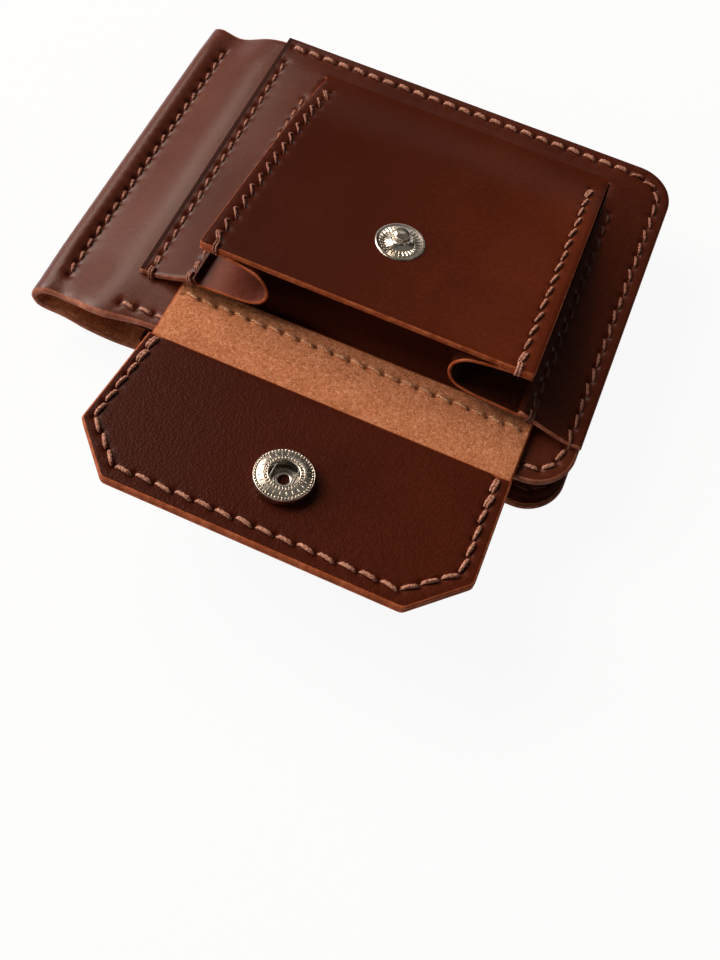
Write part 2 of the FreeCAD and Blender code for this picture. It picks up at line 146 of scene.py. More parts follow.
right = np.array([math.cos(TURN), math.sin(TURN), 0])
back = np.array([math.sin(TURN) * math.cos(HEIGHT), -math.cos(TURN) * math.cos(HEIGHT),
                 math.sin(HEIGHT)])
up = np.cross(back, right)
rolled = [math.cos(ROLL) * right + math.sin(ROLL) * up,
          math.cos(ROLL) * up - math.sin(ROLL) * right, back]
eye = LOOK_AT + np.array([-ASIDE, -BELOW, DISTANCE]) @ np.array(rolled)

camera = bpy.data.objects.new("camera", bpy.data.cameras.new("camera"))
camera.data.lens, camera.data.sensor_width = LENS, SENSOR
camera.data.clip_start = 0.01
turned = Matrix([list(axis) for axis in rolled]).transposed().to_4x4()
camera.matrix_world = Matrix.Translation(Vector(metres(eye))) @ turned
bpy.context.scene.collection.objects.link(camera)
bpy.context.scene.camera = camera
print("camera at", np.round(metres(eye), 3))

# %% [markdown]
# ## Nodes and colours
# Colours are written as sRGB hex, as a painter would pick them, and turned to linear once.  One
# small function adds a node with its settings and links.

# %% Colour and node helpers
def linear(hex_colour, alpha=1.0):
    """sRGB hex to linear RGBA."""
    values = [int(hex_colour[i:i + 2], 16) / 255 for i in (1, 3, 5)]
    return [v / 12.92 if v <= 0.04045 else ((v + 0.055) / 1.055) ** 2.4 for v in values] + [alpha]


def add(tree, kind, inputs=None, **settings):
    """A node with its settings; inputs are values or other nodes' sockets."""
    made = tree.nodes.new(kind)
    for key, value in settings.items():
        setattr(made, key, value)
    for key, value in (inputs or {}).items():
        if isinstance(value, bpy.types.NodeSocket):
            tree.links.new(value, made.inputs[key])
        else:
            made.inputs[key].default_value = value
    return made


def empty_tree(owner):
    """The owner's node tree, with nothing in it."""
    owner.use_nodes = True
    owner.node_tree.nodes.clear()
    return owner.node_tree


def new_material(name, **shader):
    """Material with one Principled shader and the flat cut's own coordinates, in millimetres."""
    made = bpy.data.materials.new(name)
    tree = empty_tree(made)
    body = add(tree, "ShaderNodeBsdfPrincipled", shader)
    add(tree, "ShaderNodeOutputMaterial", {"Surface": body.outputs["BSDF"]})
    flat = add(tree, "ShaderNodeAttribute", attribute_name="flat")
    return made, tree, body, flat.outputs["Vector"]


def tone(tree, factor, stops, **settings):
    """Colour ramp through (place, hex) stops."""
    ramp = add(tree, "ShaderNodeValToRGB", {"Fac": factor}, **settings)
    while len(ramp.color_ramp.elements) < len(stops):
        ramp.color_ramp.elements.new(0.5)
    for element, (place, colour) in zip(ramp.color_ramp.elements, stops):
        element.position = place
        element.color = linear(colour)
    return ramp.outputs["Color"]


print("oxblood brown in linear light:", np.round(linear("#552415")[:3], 3))

# %% [markdown]
# ## Smooth leather
# Vegetable-tanned cowhide, drum-dyed oxblood brown and rubbed with wax.  The pores and creases
# are fine and shallow, the dye lies in soft clouds, and the wax gives a broad soft gloss.  It
# could be a picture of leather; three scales of noise do it without one.  Pores are about
# 0.25 mm on the hide and drawn at 0.45 mm so that they show.
#
# One hide isn't one colour.  The cover took the most wax and the thin gussets are paler.  The
# tongue and the lining grow paler from left to right, which is painted light, as if more light
# fell on their right.  A dark band on the panel's left rim is painted shade where its edge meets
# the cover, and the right gusset, which the pocket shades, is a darker copy: painted shade.

# %% Leather material
PORE, CREASE, CLOUD = 0.45, 2.6, 22.0   # mm
PORE_DEPTH, CREASE_DEPTH = 0.00006, 0.0003              # bump distances, m
PAINTED_LIGHT_LEFT, PAINTED_LIGHT_RIGHT = 38.0, 102.0   # painted light: the colour grows paler between these ...
PAINTED_LIGHT_NEAR, PAINTED_LIGHT_FAR = 58.0, 76.0      # ... and not at the far end
# painted shade: colour of the dark band along the panel's left edge
PAINTED_SHADE_COLOUR = "#2C0F07"


def leather(name, dark, mid, pale, roughness, grain, gloss=0.13, crease=0.12, painted_light=0.0, rim=None):
    """Dyed full-grain leather; grain is how strongly the pores stand out.  The colour can grow
    paler towards the right of a cut, as painted light, and left of rim it turns dark and matt: painted
    shade."""
    made, tree, body, flat = new_material(name, **{"IOR": 1.47, "Specular IOR Level": gloss})
    place = add(tree, "ShaderNodeSeparateXYZ", {"Vector": flat}) if painted_light or rim else None
    cloud = add(tree, "ShaderNodeTexNoise", {"Vector": flat, "Scale": 1 / CLOUD, "Detail": 5.0,
                                             "Roughness": 0.6})
    fleck = add(tree, "ShaderNodeTexNoise", {"Vector": flat, "Scale": 1 / (2 * PORE), "Detail": 3.0})
    mixed = add(tree, "ShaderNodeMath", {0: cloud.outputs["Fac"], 1: fleck.outputs["Fac"]},
                operation="ADD")
    half = add(tree, "ShaderNodeMath", {0: mixed.outputs[0], 1: 0.5}, operation="MULTIPLY")
    # painted light: the colour grows paler to the right of the cut, not at its far end
    if painted_light:
        across = add(tree, "ShaderNodeMapRange", {"Value": place.outputs["X"], "From Min": PAINTED_LIGHT_LEFT,
                                                  "From Max": PAINTED_LIGHT_RIGHT, "To Min": -painted_light,
                                                  "To Max": painted_light})
        fades = add(tree, "ShaderNodeMapRange", {"Value": place.outputs["Y"], "From Min": PAINTED_LIGHT_FAR,
                                                 "From Max": PAINTED_LIGHT_NEAR})
        more = add(tree, "ShaderNodeMath", {0: across.outputs["Result"], 1: fades.outputs["Result"]},
                   operation="MULTIPLY")
        calm = add(tree, "ShaderNodeMath", {0: half.outputs[0], 1: 0.35, 2: 0.325},
                   operation="MULTIPLY_ADD")
        half = add(tree, "ShaderNodeMath", {0: calm.outputs[0], 1: more.outputs[0]}, operation="ADD")
    colour = tone(tree, half.outputs[0], [(0.34, dark), (0.5, mid), (0.68, pale)])
    # painted shade: left of rim the grain turns dark and matt, where the panel's edge meets the cover
    if rim:
        painted_shade = add(tree, "ShaderNodeMapRange", {"Value": place.outputs["X"], "From Min": rim + 0.2,
                                                "From Max": rim - 0.1}).outputs["Result"]
        colour = add(tree, "ShaderNodeMix", {0: painted_shade, 6: colour, 7: linear(PAINTED_SHADE_COLOUR)},
                     data_type="RGBA").outputs[2]
    tree.links.new(colour, body.inputs["Base Color"])
    pores = add(tree, "ShaderNodeTexVoronoi", {"Vector": flat, "Scale": 1 / PORE, "Smoothness": 0.6,
                                               "Randomness": 1.0}, feature="SMOOTH_F1")
    creases = add(tree, "ShaderNodeTexNoise", {"Vector": flat, "Scale": 1 / CREASE, "Detail": 6.0,
                                               "Roughness": 0.55, "Distortion": 0.4})
    rough = add(tree, "ShaderNodeMapRange", {"Value": cloud.outputs["Fac"], "From Min": 0.3,
                                             "From Max": 0.7, "To Min": roughness - 0.04,
                                             "To Max": roughness + 0.05})
    rough = rough.outputs["Result"]
    if rim:
        rough = add(tree, "ShaderNodeMix", {"Factor": painted_shade, "A": rough, "B": 0.9},
                    data_type="FLOAT").outputs[0]
    tree.links.new(rough, body.inputs["Roughness"])
    fine = add(tree, "ShaderNodeBump", {"Height": pores.outputs["Distance"], "Strength": 1.0,
                                        "Distance": PORE_DEPTH * grain})
    broad = add(tree, "ShaderNodeBump", {"Height": creases.outputs["Fac"], "Strength": crease,
                                         "Distance": CREASE_DEPTH, "Normal": fine.outputs["Normal"]})
    tree.links.new(broad.outputs["Normal"], body.inputs["Normal"])
    return made


cover_leather = leather("waxed_cowhide", "#4A1E11", "#552415", "#612C1A", 0.345, 0.2, gloss=0.235)
# rim puts painted shade along the panel's left edge
front_leather = leather("waxed_cowhide_deep", "#3E170B", "#491C0E", "#562311", 0.34, 0.18,
                        gloss=0.18, rim=22.05)
# the tongue's paler right side is painted light
tongue_leather = leather("waxed_cowhide_painted_light", "#3A140A", "#471B0D", "#642A16", 0.32, 0.18,
                         gloss=0.05, painted_light=0.11)
# the lining's paler right side is painted light
lining_leather = leather("pebbled_cowhide", "#39140B", "#41180D", "#582413", 0.37, 1.25,
                         gloss=0.06, crease=0.24, painted_light=0.07)
gusset_leather = leather("thin_cowhide", "#602C1F", "#70382B", "#7E4334", 0.38, 0.3)
# a darker copy of the gusset leather for the right gusset: painted shade
shaded_leather = leather("thin_cowhide_painted_shade", "#2B1109", "#36170D", "#421E13", 0.4, 0.3, gloss=0.07)
print("leathers:", len(bpy.data.materials))

# %% [markdown]
# ## Flesh side, suede and cut edges
# The back of the leather is never finished: short loose fibres, matt and paler.  On the flap's
# hinge it is turned outwards and looks like tan suede.  Its fibres are about 0.3 mm and drawn at
# twice that.  A cut edge shows the same undyed fibres, rounded with an edge tool and rubbed with
# gum until they shine a little, with darker layers running along it.  The cover and the panel
# have a duller, rosier edge.  A near-black edge is painted shade: the edges that lie in a slot or
# window and along the panel's left side take it, and so does the gussets' flesh side.

# %% Suede and edge materials
FIBRE, STREAK = 0.62, 1.4               # mm
NAP_DEPTH = 0.0002                      # bump distance, m


def napped(name, dark, mid, pale):
    """Unfinished fibres of the hide's flesh side."""
    made, tree, body, flat = new_material(
        name, **{"Roughness": 0.95, "IOR": 1.45, "Specular IOR Level": 0.2, "Sheen Weight": 0.25,
                 "Sheen Roughness": 0.5, "Sheen Tint": linear(pale)})
    cloud = add(tree, "ShaderNodeTexNoise", {"Vector": flat, "Scale": 1 / 6.0, "Detail": 6.0})
    fibre = add(tree, "ShaderNodeTexNoise", {"Vector": flat, "Scale": 1 / FIBRE, "Detail": 4.0,
                                             "Roughness": 0.7, "Distortion": 1.2})
    both = add(tree, "ShaderNodeMix", {"Factor": 0.85, "A": cloud.outputs["Fac"],
                                       "B": fibre.outputs["Fac"]}, data_type="FLOAT")
    colour = tone(tree, both.outputs["Result"], [(0.35, dark), (0.5, mid), (0.66, pale)])
    tree.links.new(colour, body.inputs["Base Color"])
    bump = add(tree, "ShaderNodeBump", {"Height": fibre.outputs["Fac"], "Strength": 0.8,
                                        "Distance": NAP_DEPTH})
    tree.links.new(bump.outputs["Normal"], body.inputs["Normal"])
    return made


def burnished(name, dark, mid, pale, gloss=0.12):
    """Gummed and rubbed cut edge."""
    made, tree, body, flat = new_material(
        name, **{"Roughness": 0.55, "IOR": 1.46, "Specular IOR Level": gloss})
    streak = add(tree, "ShaderNodeTexNoise", {"Vector": flat, "Scale": 1 / STREAK, "Detail": 5.0,
                                              "Roughness": 0.65})
    colour = tone(tree, streak.outputs["Fac"], [(0.35, dark), (0.5, mid), (0.66, pale)])
    tree.links.new(colour, body.inputs["Base Color"])
    bump = add(tree, "ShaderNodeBump", {"Height": streak.outputs["Fac"], "Strength": 0.5,
                                        "Distance": NAP_DEPTH})
    tree.links.new(bump.outputs["Normal"], body.inputs["Normal"])
    return made


suede = napped("tan_suede", "#94573A", "#C47A50", "#E2A684")
flesh_side = napped("flesh_side", "#94502F", "#BE7650", "#D49469")
edge_finish = burnished("burnished_edge", "#84401F", "#9C4E2D", "#B1633F")
rose_edge = burnished("burnished_edge_rose", "#7C4634", "#935843", "#A66C57")
# near-black edge: painted shade for edges in slots, windows and shadow
shaded_edge = burnished("burnished_edge_painted_shade", "#2A0F07", "#35150B", "#411C0F", gloss=0.0)
print("with flesh sides and edges:", len(bpy.data.materials))

# %% [markdown]
# ## Thread and metal
# The thread is waxed polyester, three plies twisted; the twist is real geometry, so the material
# only needs a soft sheen and a slight change of tone.  The plain thread goes where it stands proud.
# Darker copies are painted shade: one where it is pulled into the leather or lies in shade, and a
# near-black one in the slots and in the tongue's shadow.  On the suede a paler copy is dusted with
# fibres and painted light against the pocket's shade.  The snap is nickel-plated brass: a metal
# needs little more than its colour, its roughness and something to reflect.

# %% Thread and metal materials
FILAMENT, SCUFF = 0.35, 3.0             # mm


def spun(name, dark, pale):
    """Waxed polyester thread."""
    made, tree, body, flat = new_material(
        name, **{"Roughness": 0.6, "IOR": 1.5, "Specular IOR Level": 0.25,
                 "Sheen Weight": 0.2, "Sheen Tint": linear(pale)})
    fibre = add(tree, "ShaderNodeTexNoise", {"Vector": flat, "Scale": 1 / FILAMENT, "Detail": 3.0})
    colour = tone(tree, fibre.outputs["Fac"], [(0.35, dark), (0.65, pale)])
    tree.links.new(colour, body.inputs["Base Color"])
    return made


def plated(name, dull, bright, roughness):
    """Polished metal with faint wear."""
    made, tree, body, flat = new_material(name, **{"Metallic": 1.0})
    wear = add(tree, "ShaderNodeTexNoise", {"Vector": flat, "Scale": 1 / SCUFF, "Detail": 2.0})
    colour = tone(tree, wear.outputs["Fac"], [(0.35, dull), (0.65, bright)])
    tree.links.new(colour, body.inputs["Base Color"])
    worn = add(tree, "ShaderNodeMapRange", {"Value": wear.outputs["Fac"], "From Min": 0.3,
                                            "From Max": 0.7, "To Min": roughness,
                                            "To Max": roughness + 0.06})
    tree.links.new(worn.outputs["Result"], body.inputs["Roughness"])
    return made


thread_wax = spun("waxed_polyester", "#7E4636", "#CE9880")
# darker copy: painted shade, for thread pulled into the leather or lying in shade
shaded_thread = spun("waxed_polyester_painted_shade", "#653626", "#AC7664")
# near-black copy: painted shade, in the slots and in the tongue's shadow
deep_shaded_thread = spun("waxed_polyester_painted_deep_shade", "#3A1D12", "#5E3424")
# paler copy for the seam on the suede: fibre dust, and painted light against the pocket's shade
dusty_lit_thread = spun("waxed_polyester_dusty_painted_light", "#8C5032", "#E4AE84")
nickel = plated("nickel_plate", "#CDC4B7", "#DDD5C9", 0.18)
spring_steel = plated("spring_steel", "#8B8780", "#B5B1AA", 0.24)
print("materials:", len(bpy.data.materials))

# %% [markdown]
# ## Cutting a sheet of leather
# A real sheet has a thickness, a grain side, a flesh side and a rounded edge all the way round.
# It could be a plane with Solidify and Bevel, but then the stitch holes, the slits and the rows
# between bodies are hard to place.  Here the flat cut is triangulated with its own dense points
# where the needle went in, and a function then bends the flat cut into its place.

# %% Flat outlines
ARC_STEP, EDGE_STEP = 0.7, 1.3          # mm between the outline's points


def outline(corners):
    """Closed anticlockwise line through (x, y, radius) corners, rounded and evenly divided."""
    turns = []
    for i, (x, y, r) in enumerate(corners):
        here = np.array([x, y], float)
        before = np.array(corners[i - 1][:2], float) - here
        after = np.array(corners[(i + 1) % len(corners)][:2], float) - here
        before /= np.linalg.norm(before)
        after /= np.linalg.norm(after)
        if r == 0:
            turns.append([here])
            continue
        half = math.acos(np.clip(before @ after, -1, 1)) / 2
        middle = (before + after) / np.linalg.norm(before + after)
        centre = here + middle * r / math.sin(half)
        start = here + before * r / math.tan(half) - centre
        end = here + after * r / math.tan(half) - centre
        count = max(3, int((math.pi - 2 * half) * r / ARC_STEP))
        a0, a1 = math.atan2(start[1], start[0]), math.atan2(end[1], end[0])
        a1 = a0 + (a1 - a0 + math.pi) % (2 * math.pi) - math.pi
        turns.append([centre + r * np.array([math.cos(a), math.sin(a)])
                      for a in np.linspace(a0, a1, count)])
    points = []
    for i, turn in enumerate(turns):
        points += turn
        here, there = turn[-1], turns[(i + 1) % len(turns)][0]
        count = int(np.linalg.norm(there - here) / EDGE_STEP)
        points += [here + (there - here) * k / (count + 1) for k in range(1, count + 1)]
    return np.array(points)


def outward(points):
    """Mitred outward direction at each point of an anticlockwise outline."""
    step = np.roll(points, -1, 0) - points
    side = np.stack([step[:, 1], -step[:, 0]], 1)
    side /= lengths(side)[:, None]
    before = np.roll(side, 1, 0)
    return (side + before) / np.maximum(1 + (side * before).sum(1), 0.3)[:, None]


print("points round a 10 mm square:", len(outline([(0, 0, 1), (10, 0, 1), (10, 10, 1), (0, 10, 1)])))

# %% [markdown]
# A row is pricked before it is sewn: an iron's teeth leave holes at one spacing.  The waxed
# thread then pulls the leather down at each hole and a little between them.  That could be a
# bump in the material, but light from the side would show it as flat, so the cut is dented.

# %% Needle rows
PITCH = 3.85                            # mm, one stitch


def spaced(path, count=None):
    """Holes along a polyline: a given number of equal stitches, or as many pitches as fit."""
    path = np.array(path, float)
    run = running(path)
    if count is None:
        count = max(1, round(run[-1] / PITCH))
    return sampled(np.linspace(0, run[-1], count + 1), run, path)


DIMPLE, GROOVE_WIDE, ROW_REACH = 0.72, 0.8, 3.5         # mm to each side
SWELL_AT, SWELL_WIDE, SWELL = 1.7, 0.7, 0.6              # the leather rises a little beside a row


def dent(points, rows, deep=0.5, groove=0.04):
    """How far the leather is drawn in: a dimple at each hole and a soft groove between them."""
    drop = np.zeros(len(points))
    for row in rows:
        near_hole = np.sqrt(((points[:, None] - row[None]) ** 2).sum(2)).min(1)
        a, b = row[:-1], row[1:]
        run = b - a
        share = ((points[:, None] - a) * run).sum(2) / (run ** 2).sum(1)
        foot = a + np.clip(share, 0, 1)[..., None] * run
        off = np.sqrt(((points[:, None] - foot) ** 2).sum(2)).min(1)
        pulled = deep * np.exp(-(near_hole / DIMPLE) ** 2) + groove * np.exp(-(off / GROOVE_WIDE) ** 2)
        swollen = SWELL * groove * np.exp(-((off - SWELL_AT) / SWELL_WIDE) ** 2)
        drop = np.where(off < ROW_REACH, np.maximum(drop, pulled - swollen), drop)
    return drop


print("holes in 50 mm:", len(spaced([(0, 0), (50, 0)])))

# %% [markdown]
# A cut is filled with loose points before it is triangulated: a plain grid, closer points along
# each row and rings round each hole, because a dent needs points to show.  Blender's own
# constrained Delaunay function joins them, and a seam between two pieces is given to it as edges.

# %% Points and triangles of a cut
BESIDE_ROW = (-2.0, -1.1, -0.45, 0, 0.45, 1.1, 2.0)      # mm across a row
ROUND_HOLE = ((0.3, 6), (0.65, 8), (1.0, 10))            # radius and points of each ring
RIM_CLEAR, APART = 0.35, 0.28                            # mm to the rim and to the next point


def loose_points(edge, rows, grid):
    """A triangular grid over the cut's box, finer along the rows and round their holes."""
    lo, hi = edge.min(0), edge.max(0)
    xs = np.arange(lo[0] + grid / 2, hi[0], grid)
    ys = np.arange(lo[1] + grid / 2, hi[1], grid * 0.87)
    loose = [(x + (grid / 2 if j % 2 else 0), y) for j, y in enumerate(ys) for x in xs]
    for row in rows:
        a, b = row[:-1], row[1:]
        along = (b - a) / lengths(b - a)[:, None]
        side = np.stack([-along[:, 1], along[:, 0]], 1)
        for k in range(6):
            for off in BESIDE_ROW:
                loose += list(map(tuple, a + (b - a) * k / 6 + side * off))
        for hole in row:
            loose += [(hole[0] + r * math.cos(t), hole[1] + r * math.sin(t))
                      for r, n in ROUND_HOLE for t in np.linspace(0, 2 * math.pi, n, False)]
    return np.array(loose)


def kept_inside(loop, loose):
    """The loose points inside a closed line and clear of it, thinned out where they crowd."""
    gap = np.full(len(loose), 1e9)
    inside = np.zeros(len(loose), bool)
    for p, q in zip(loop, np.roll(loop, -1, 0)):
        run = q - p
        share = np.clip(((loose - p) @ run) / (run @ run), 0, 1)
        gap = np.minimum(gap, lengths(loose - p - share[:, None] * run))
        cross = (p[1] > loose[:, 1]) != (q[1] > loose[:, 1])
        with np.errstate(divide="ignore", invalid="ignore"):
            inside ^= cross & (loose[:, 0] < p[0] + (loose[:, 1] - p[1]) * run[0] / run[1])
    keep, cells = [], set()
    for p in loose[inside & (gap > RIM_CLEAR)][::-1]:
        cell = (round(p[0] / APART), round(p[1] / APART))
        if cell not in cells:
            cells.add(cell)
            keep.append(p)
    return keep


def triangulated(loop, keep, seams):
    """Points and triangles of the cut, and the loop's own number for each point that lies on it."""
    count = len(loop)
    seam_points, seam_edges = [], []
    for line in seams:
        first = count + len(keep) + len(seam_points)
        seam_points += line
        seam_edges += [(first + i, first + i + 1) for i in range(len(line) - 1)]
    points = [Vector(p) for p in [*loop, *keep, *seam_points]]
    found = delaunay_2d_cdt(points, seam_edges, [list(range(count))], 1, 1e-5)
    verts = np.array([tuple(v) for v in found[0]])
    faces = np.array([f for f in found[2] if len(f) == 3])
    on_loop = {i: o for i, origins in enumerate(found[3]) for o in origins if o < count}
    return verts, faces, on_loop


print("loose points in a 10 mm square:", len(loose_points(np.array([[0, 0], [10, 10]]), (), 2.0)))

# %% [markdown]
# Every piece is made by one function.  It turns the bench's millimetres into the frame's metres
# and keeps each point's place on the flat cut as an attribute, so that the grain stays on the
# leather when it bends.

# %% A new piece
def new_piece(name, points, polys, materials, mats=None, flat=None, sharp=()):
    """Mesh object from bench millimetres, with flat coordinates for its materials."""
    mesh = bpy.data.meshes.new(name)
    mesh.from_pydata(metres(points).tolist(), [], [tuple(map(int, f)) for f in polys])
    for material in materials:
        mesh.materials.append(material)
    if mats is not None:
        mesh.polygons.foreach_set("material_index", np.array(mats, np.int32))
    flat = np.asarray(points if flat is None else flat, np.float32)
    mesh.attributes.new("flat", "FLOAT_VECTOR", "POINT").data.foreach_set("vector", flat.ravel())
    mesh.shade_smooth()
    if len(sharp):
        wanted = {tuple(sorted(map(int, e))) for e in sharp}
        marks = mesh.attributes.new("sharp_edge", "BOOLEAN", "EDGE")
        marks.data.foreach_set("value", [tuple(sorted(e.vertices)) in wanted for e in mesh.edges])
    made = bpy.data.objects.new(name, mesh)
    bpy.context.scene.collection.objects.link(made)
    print(f"{name}: {len(mesh.vertices)} points")
    return made


def stands_for(made, slot, *nodes):
    """Hides the CAD nodes that a piece takes the place of; the piece and its slot are not used."""
    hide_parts(*nodes)


print("pieces so far:", mesh_count() - CAD_MESHES)

# %% [markdown]
# The sheet's grain and flesh sides are the same triangles a thickness apart.  Round the rim they
# are joined by a half round in a few steps, as an edge tool leaves it.

# %% Leather sheets
EDGE_RINGS = 6                          # steps of the half-round edge
FLESH_DENT = 0.25                       # the flesh side shows this much of a dent
GRAIN, FLESH, EDGE, PAINTED_SHADE_EDGE = range(4)   # a sheet's materials; the fourth is a near-black edge, painted shade


def surface_normals(surface, flat):
    """Unit normals of a bent cut at its flat points."""
    eps = 0.04
    du = surface(flat + [eps, 0]) - surface(flat - [eps, 0])
    dv = surface(flat + [0, eps]) - surface(flat - [0, eps])
    n = np.cross(du, dv)
    return n / lengths(n)[:, None]


def everywhere(middle):
    """A region test that every triangle passes."""
    return np.ones(len(middle), bool)


def nowhere(middle):
    """A rim test that no place passes."""
    return np.zeros(len(middle), bool)


def sheet(edge, thick, regions, materials, rows=(), grid=2.0, flip=False, seams=(), deep=0.4,
          groove=0.04, round_by=0.45, painted_shade=nowhere):
    """Leather pieces from one flat cut.

    regions are (name, test, surface): the triangles whose middles pass the test make that piece,
    and surface bends flat points to the grain face in bench millimetres.  seams are flat lines
    where one region ends and the next begins.  materials are for grain, flesh and edge, and
    where the flat rim passes the last test, its edge takes a fourth, with painted shade."""
    out = outward(edge)
    inner = edge - out * round_by
    verts, faces, on_loop = triangulated(inner, kept_inside(inner, loose_points(edge, rows, grid)), seams)
    middle = verts[faces].mean(1)
    facing = -1 if flip else 1
    made = []
    for name, test, surface in regions:
        mine = faces[test(middle)]
        used = np.unique(mine)
        at = {v: i for i, v in enumerate(used)}
        flat, n_top = verts[used], len(used)
        normal = surface_normals(surface, flat) * facing
        place = surface(flat)
        drop = (dent(flat, rows, deep, groove) if len(rows) else np.zeros(n_top))[:, None]
        pos = [place - normal * drop, place - normal * (thick + FLESH_DENT * drop)]
        att = [np.c_[flat, np.zeros(n_top)], np.c_[flat, np.full(n_top, thick)]]
        polys, mats, sharp, sides = [], [], [], {}
        for f in mine:
            a, b, c = (at[v] for v in f)
            polys += [(a, b, c), (c + n_top, b + n_top, a + n_top)]
            mats += [GRAIN, FLESH]
            sides.update({(p, q): True for p, q in ((f[0], f[1]), (f[1], f[2]), (f[2], f[0]))})
        rim = [(p, q) for p, q in sides if (q, p) not in sides]
        rim_points = sorted({on_loop[v] for pair in rim for v in pair if v in on_loop})
        ring_at = {}
        for k in range(1, EDGE_RINGS if rim_points else 1):
            angle = math.pi * k / EDGE_RINGS
            spread = inner[rim_points] + out[rim_points] * round_by * math.sin(angle)
            depth_in = thick / 2 * (1 - math.cos(angle))
            first = sum(len(p) for p in pos)
            pos.append(surface(spread) - surface_normals(surface, spread) * facing * depth_in)
            att.append(np.c_[spread, np.full(len(spread), depth_in)])
            ring_at.update({(o, k): first + i for i, o in enumerate(rim_points)})
        for p, q in rim:
            if p in on_loop and q in on_loop:
                ends = [[at[v], *(ring_at[(on_loop[v], k)] for k in range(1, EDGE_RINGS)), at[v] + n_top]
                        for v in (p, q)]
                halfway = edge[[on_loop[p], on_loop[q]]].mean(0)[None]
                polys += [(a, b, d, c) for (a, c), (b, d) in zip(zip(*ends), list(zip(*ends))[1:])]
                # edges whose rim passes the test take the near-black edge: painted shade
                mats += [PAINTED_SHADE_EDGE if painted_shade(halfway)[0] else EDGE] * EDGE_RINGS
            else:
                polys.append((at[p], at[p] + n_top, at[q] + n_top, at[q]))
                mats.append(EDGE)
                sharp += [(at[p], at[q]), (at[p] + n_top, at[q] + n_top)]
        if flip:
            polys = [f[::-1] for f in polys]
        made.append(new_piece(name, np.concatenate(pos), polys, materials, mats,
                              np.concatenate(att), sharp))
    return made


print("steps of an edge:", EDGE_RINGS)

# %% [markdown]
# ## A bent line
# The cover runs from the upper half's free edge, over the spine and along the underside to the
# lower half's free edge.  Its outer face is one smooth line through a few places, measured along
# the leather, which also bends the flat cut without stretching it.

# %% Smooth lines
def rounded_line(keys, step=0.1):
    """Catmull-Rom line through 2-D keys with its running length."""
    keys = np.array(keys, float)
    ends = np.concatenate([[2 * keys[0] - keys[1]], keys, [2 * keys[-1] - keys[-2]]])
    line = []
    for a, b, c, d in zip(ends, ends[1:], ends[2:], ends[3:]):
        ta = 0.0
        tb = ta + np.linalg.norm(b - a) ** 0.5
        tc = tb + np.linalg.norm(c - b) ** 0.5
        td = tc + np.linalg.norm(d - c) ** 0.5
        t = np.linspace(tb, tc, max(3, int(np.linalg.norm(c - b) / step)), endpoint=False)[:, None]
        ab = (tb - t) / (tb - ta) * a + (t - ta) / (tb - ta) * b
        bc = (tc - t) / (tc - tb) * b + (t - tb) / (tc - tb) * c
        cd = (td - t) / (td - tc) * c + (t - tc) / (td - tc) * d
        abc = (tc - t) / (tc - ta) * ab + (t - ta) / (tc - ta) * bc
        bcd = (td - t) / (td - tb) * bc + (t - tb) / (td - tb) * cd
        line.append((tc - t) / (tc - tb) * abc + (t - tb) / (tc - tb) * bcd)
    line = np.concatenate(line + [keys[-1:]])
    return line, running(line)


print("three places make a line of", round(rounded_line([(0, 0), (7, 3), (10, 10)])[1][-1], 2), "mm")

# %% [markdown]
# The fold isn't a plain half cylinder.  The leather stands up in a soft ridge beside it, higher
# at the near end and lower at the far one, and its near edge bulges outwards.  So there are three
# such lines, and the cover's face goes smoothly from one to the next.

# %% Cover line
COVER_T, COVER_TOP = 1.5, 14.3
FOLD_OUT = (0.0, 8.75)                  # the outermost place of the fold
pressed = [(FRONT_WIDTH, COVER_TOP), (60, COVER_TOP), (30, COVER_TOP)]
under = [FOLD_OUT, (0.95, 6.5), (3.2, 5.6), (8.0, 5.0), (13.35, 2.8), (18.7, 0.6), (23.5, 0.02),
         (30, 0), (60, 0), (BACK_WIDTH, 0)]
middle_keys = pressed + [(24, COVER_TOP), (20, 14.3), (17.5, 14.15), (14.5, 13.45), (11.0, 12.15),
                         (8.6, 11.25), (6.6, 10.9), (4.9, 11.45), (3.2, 12.0), (1.05, 11.1)] + under
near_keys = pressed + [(24, 14.45), (20.5, 14.75), (18.3, 14.85), (15.9, 14.65), (12.2, 13.35),
                       (9.6, 12.2), (7.5, 11.8), (5.4, 12.0), (3.6, 12.1), (1.3, 10.9)] + under
far_keys = pressed + [(24, COVER_TOP), (20.5, 14.2), (18, 13.9), (15, 13.1), (11.4, 11.5),
                      (9.0, 10.5), (7.0, 10.2), (5.0, 10.6), (3.0, 11.0), (0.9, 10.4)] + under


def knot_shares(keys):
    """The line's points and their place between keys, so that three lines run side by side."""
    line, _ = rounded_line(keys)
    at = [np.argmin(lengths(line - k)) for k in np.array(keys)]
    return line, np.interp(np.arange(len(line)), at, np.arange(len(keys)))


middle_line, middle_run = rounded_line(middle_keys)
_, middle_share = knot_shares(middle_keys)
near_line, near_share = knot_shares(near_keys)
far_line, far_share = knot_shares(far_keys)
COVER_LENGTH = middle_run[-1]
FOLD_AT = middle_run[np.argmin(lengths(middle_line - FOLD_OUT))]
FOLD_FLAT = FRONT_WIDTH - FOLD_AT


def bulge(inward, x, far, reach, middle, width):
    """How far the near edge is pushed out round one place; it fades with the distance inward."""
    return far * np.exp(-inward / reach) * np.exp(-((x - middle) / width) ** 2)


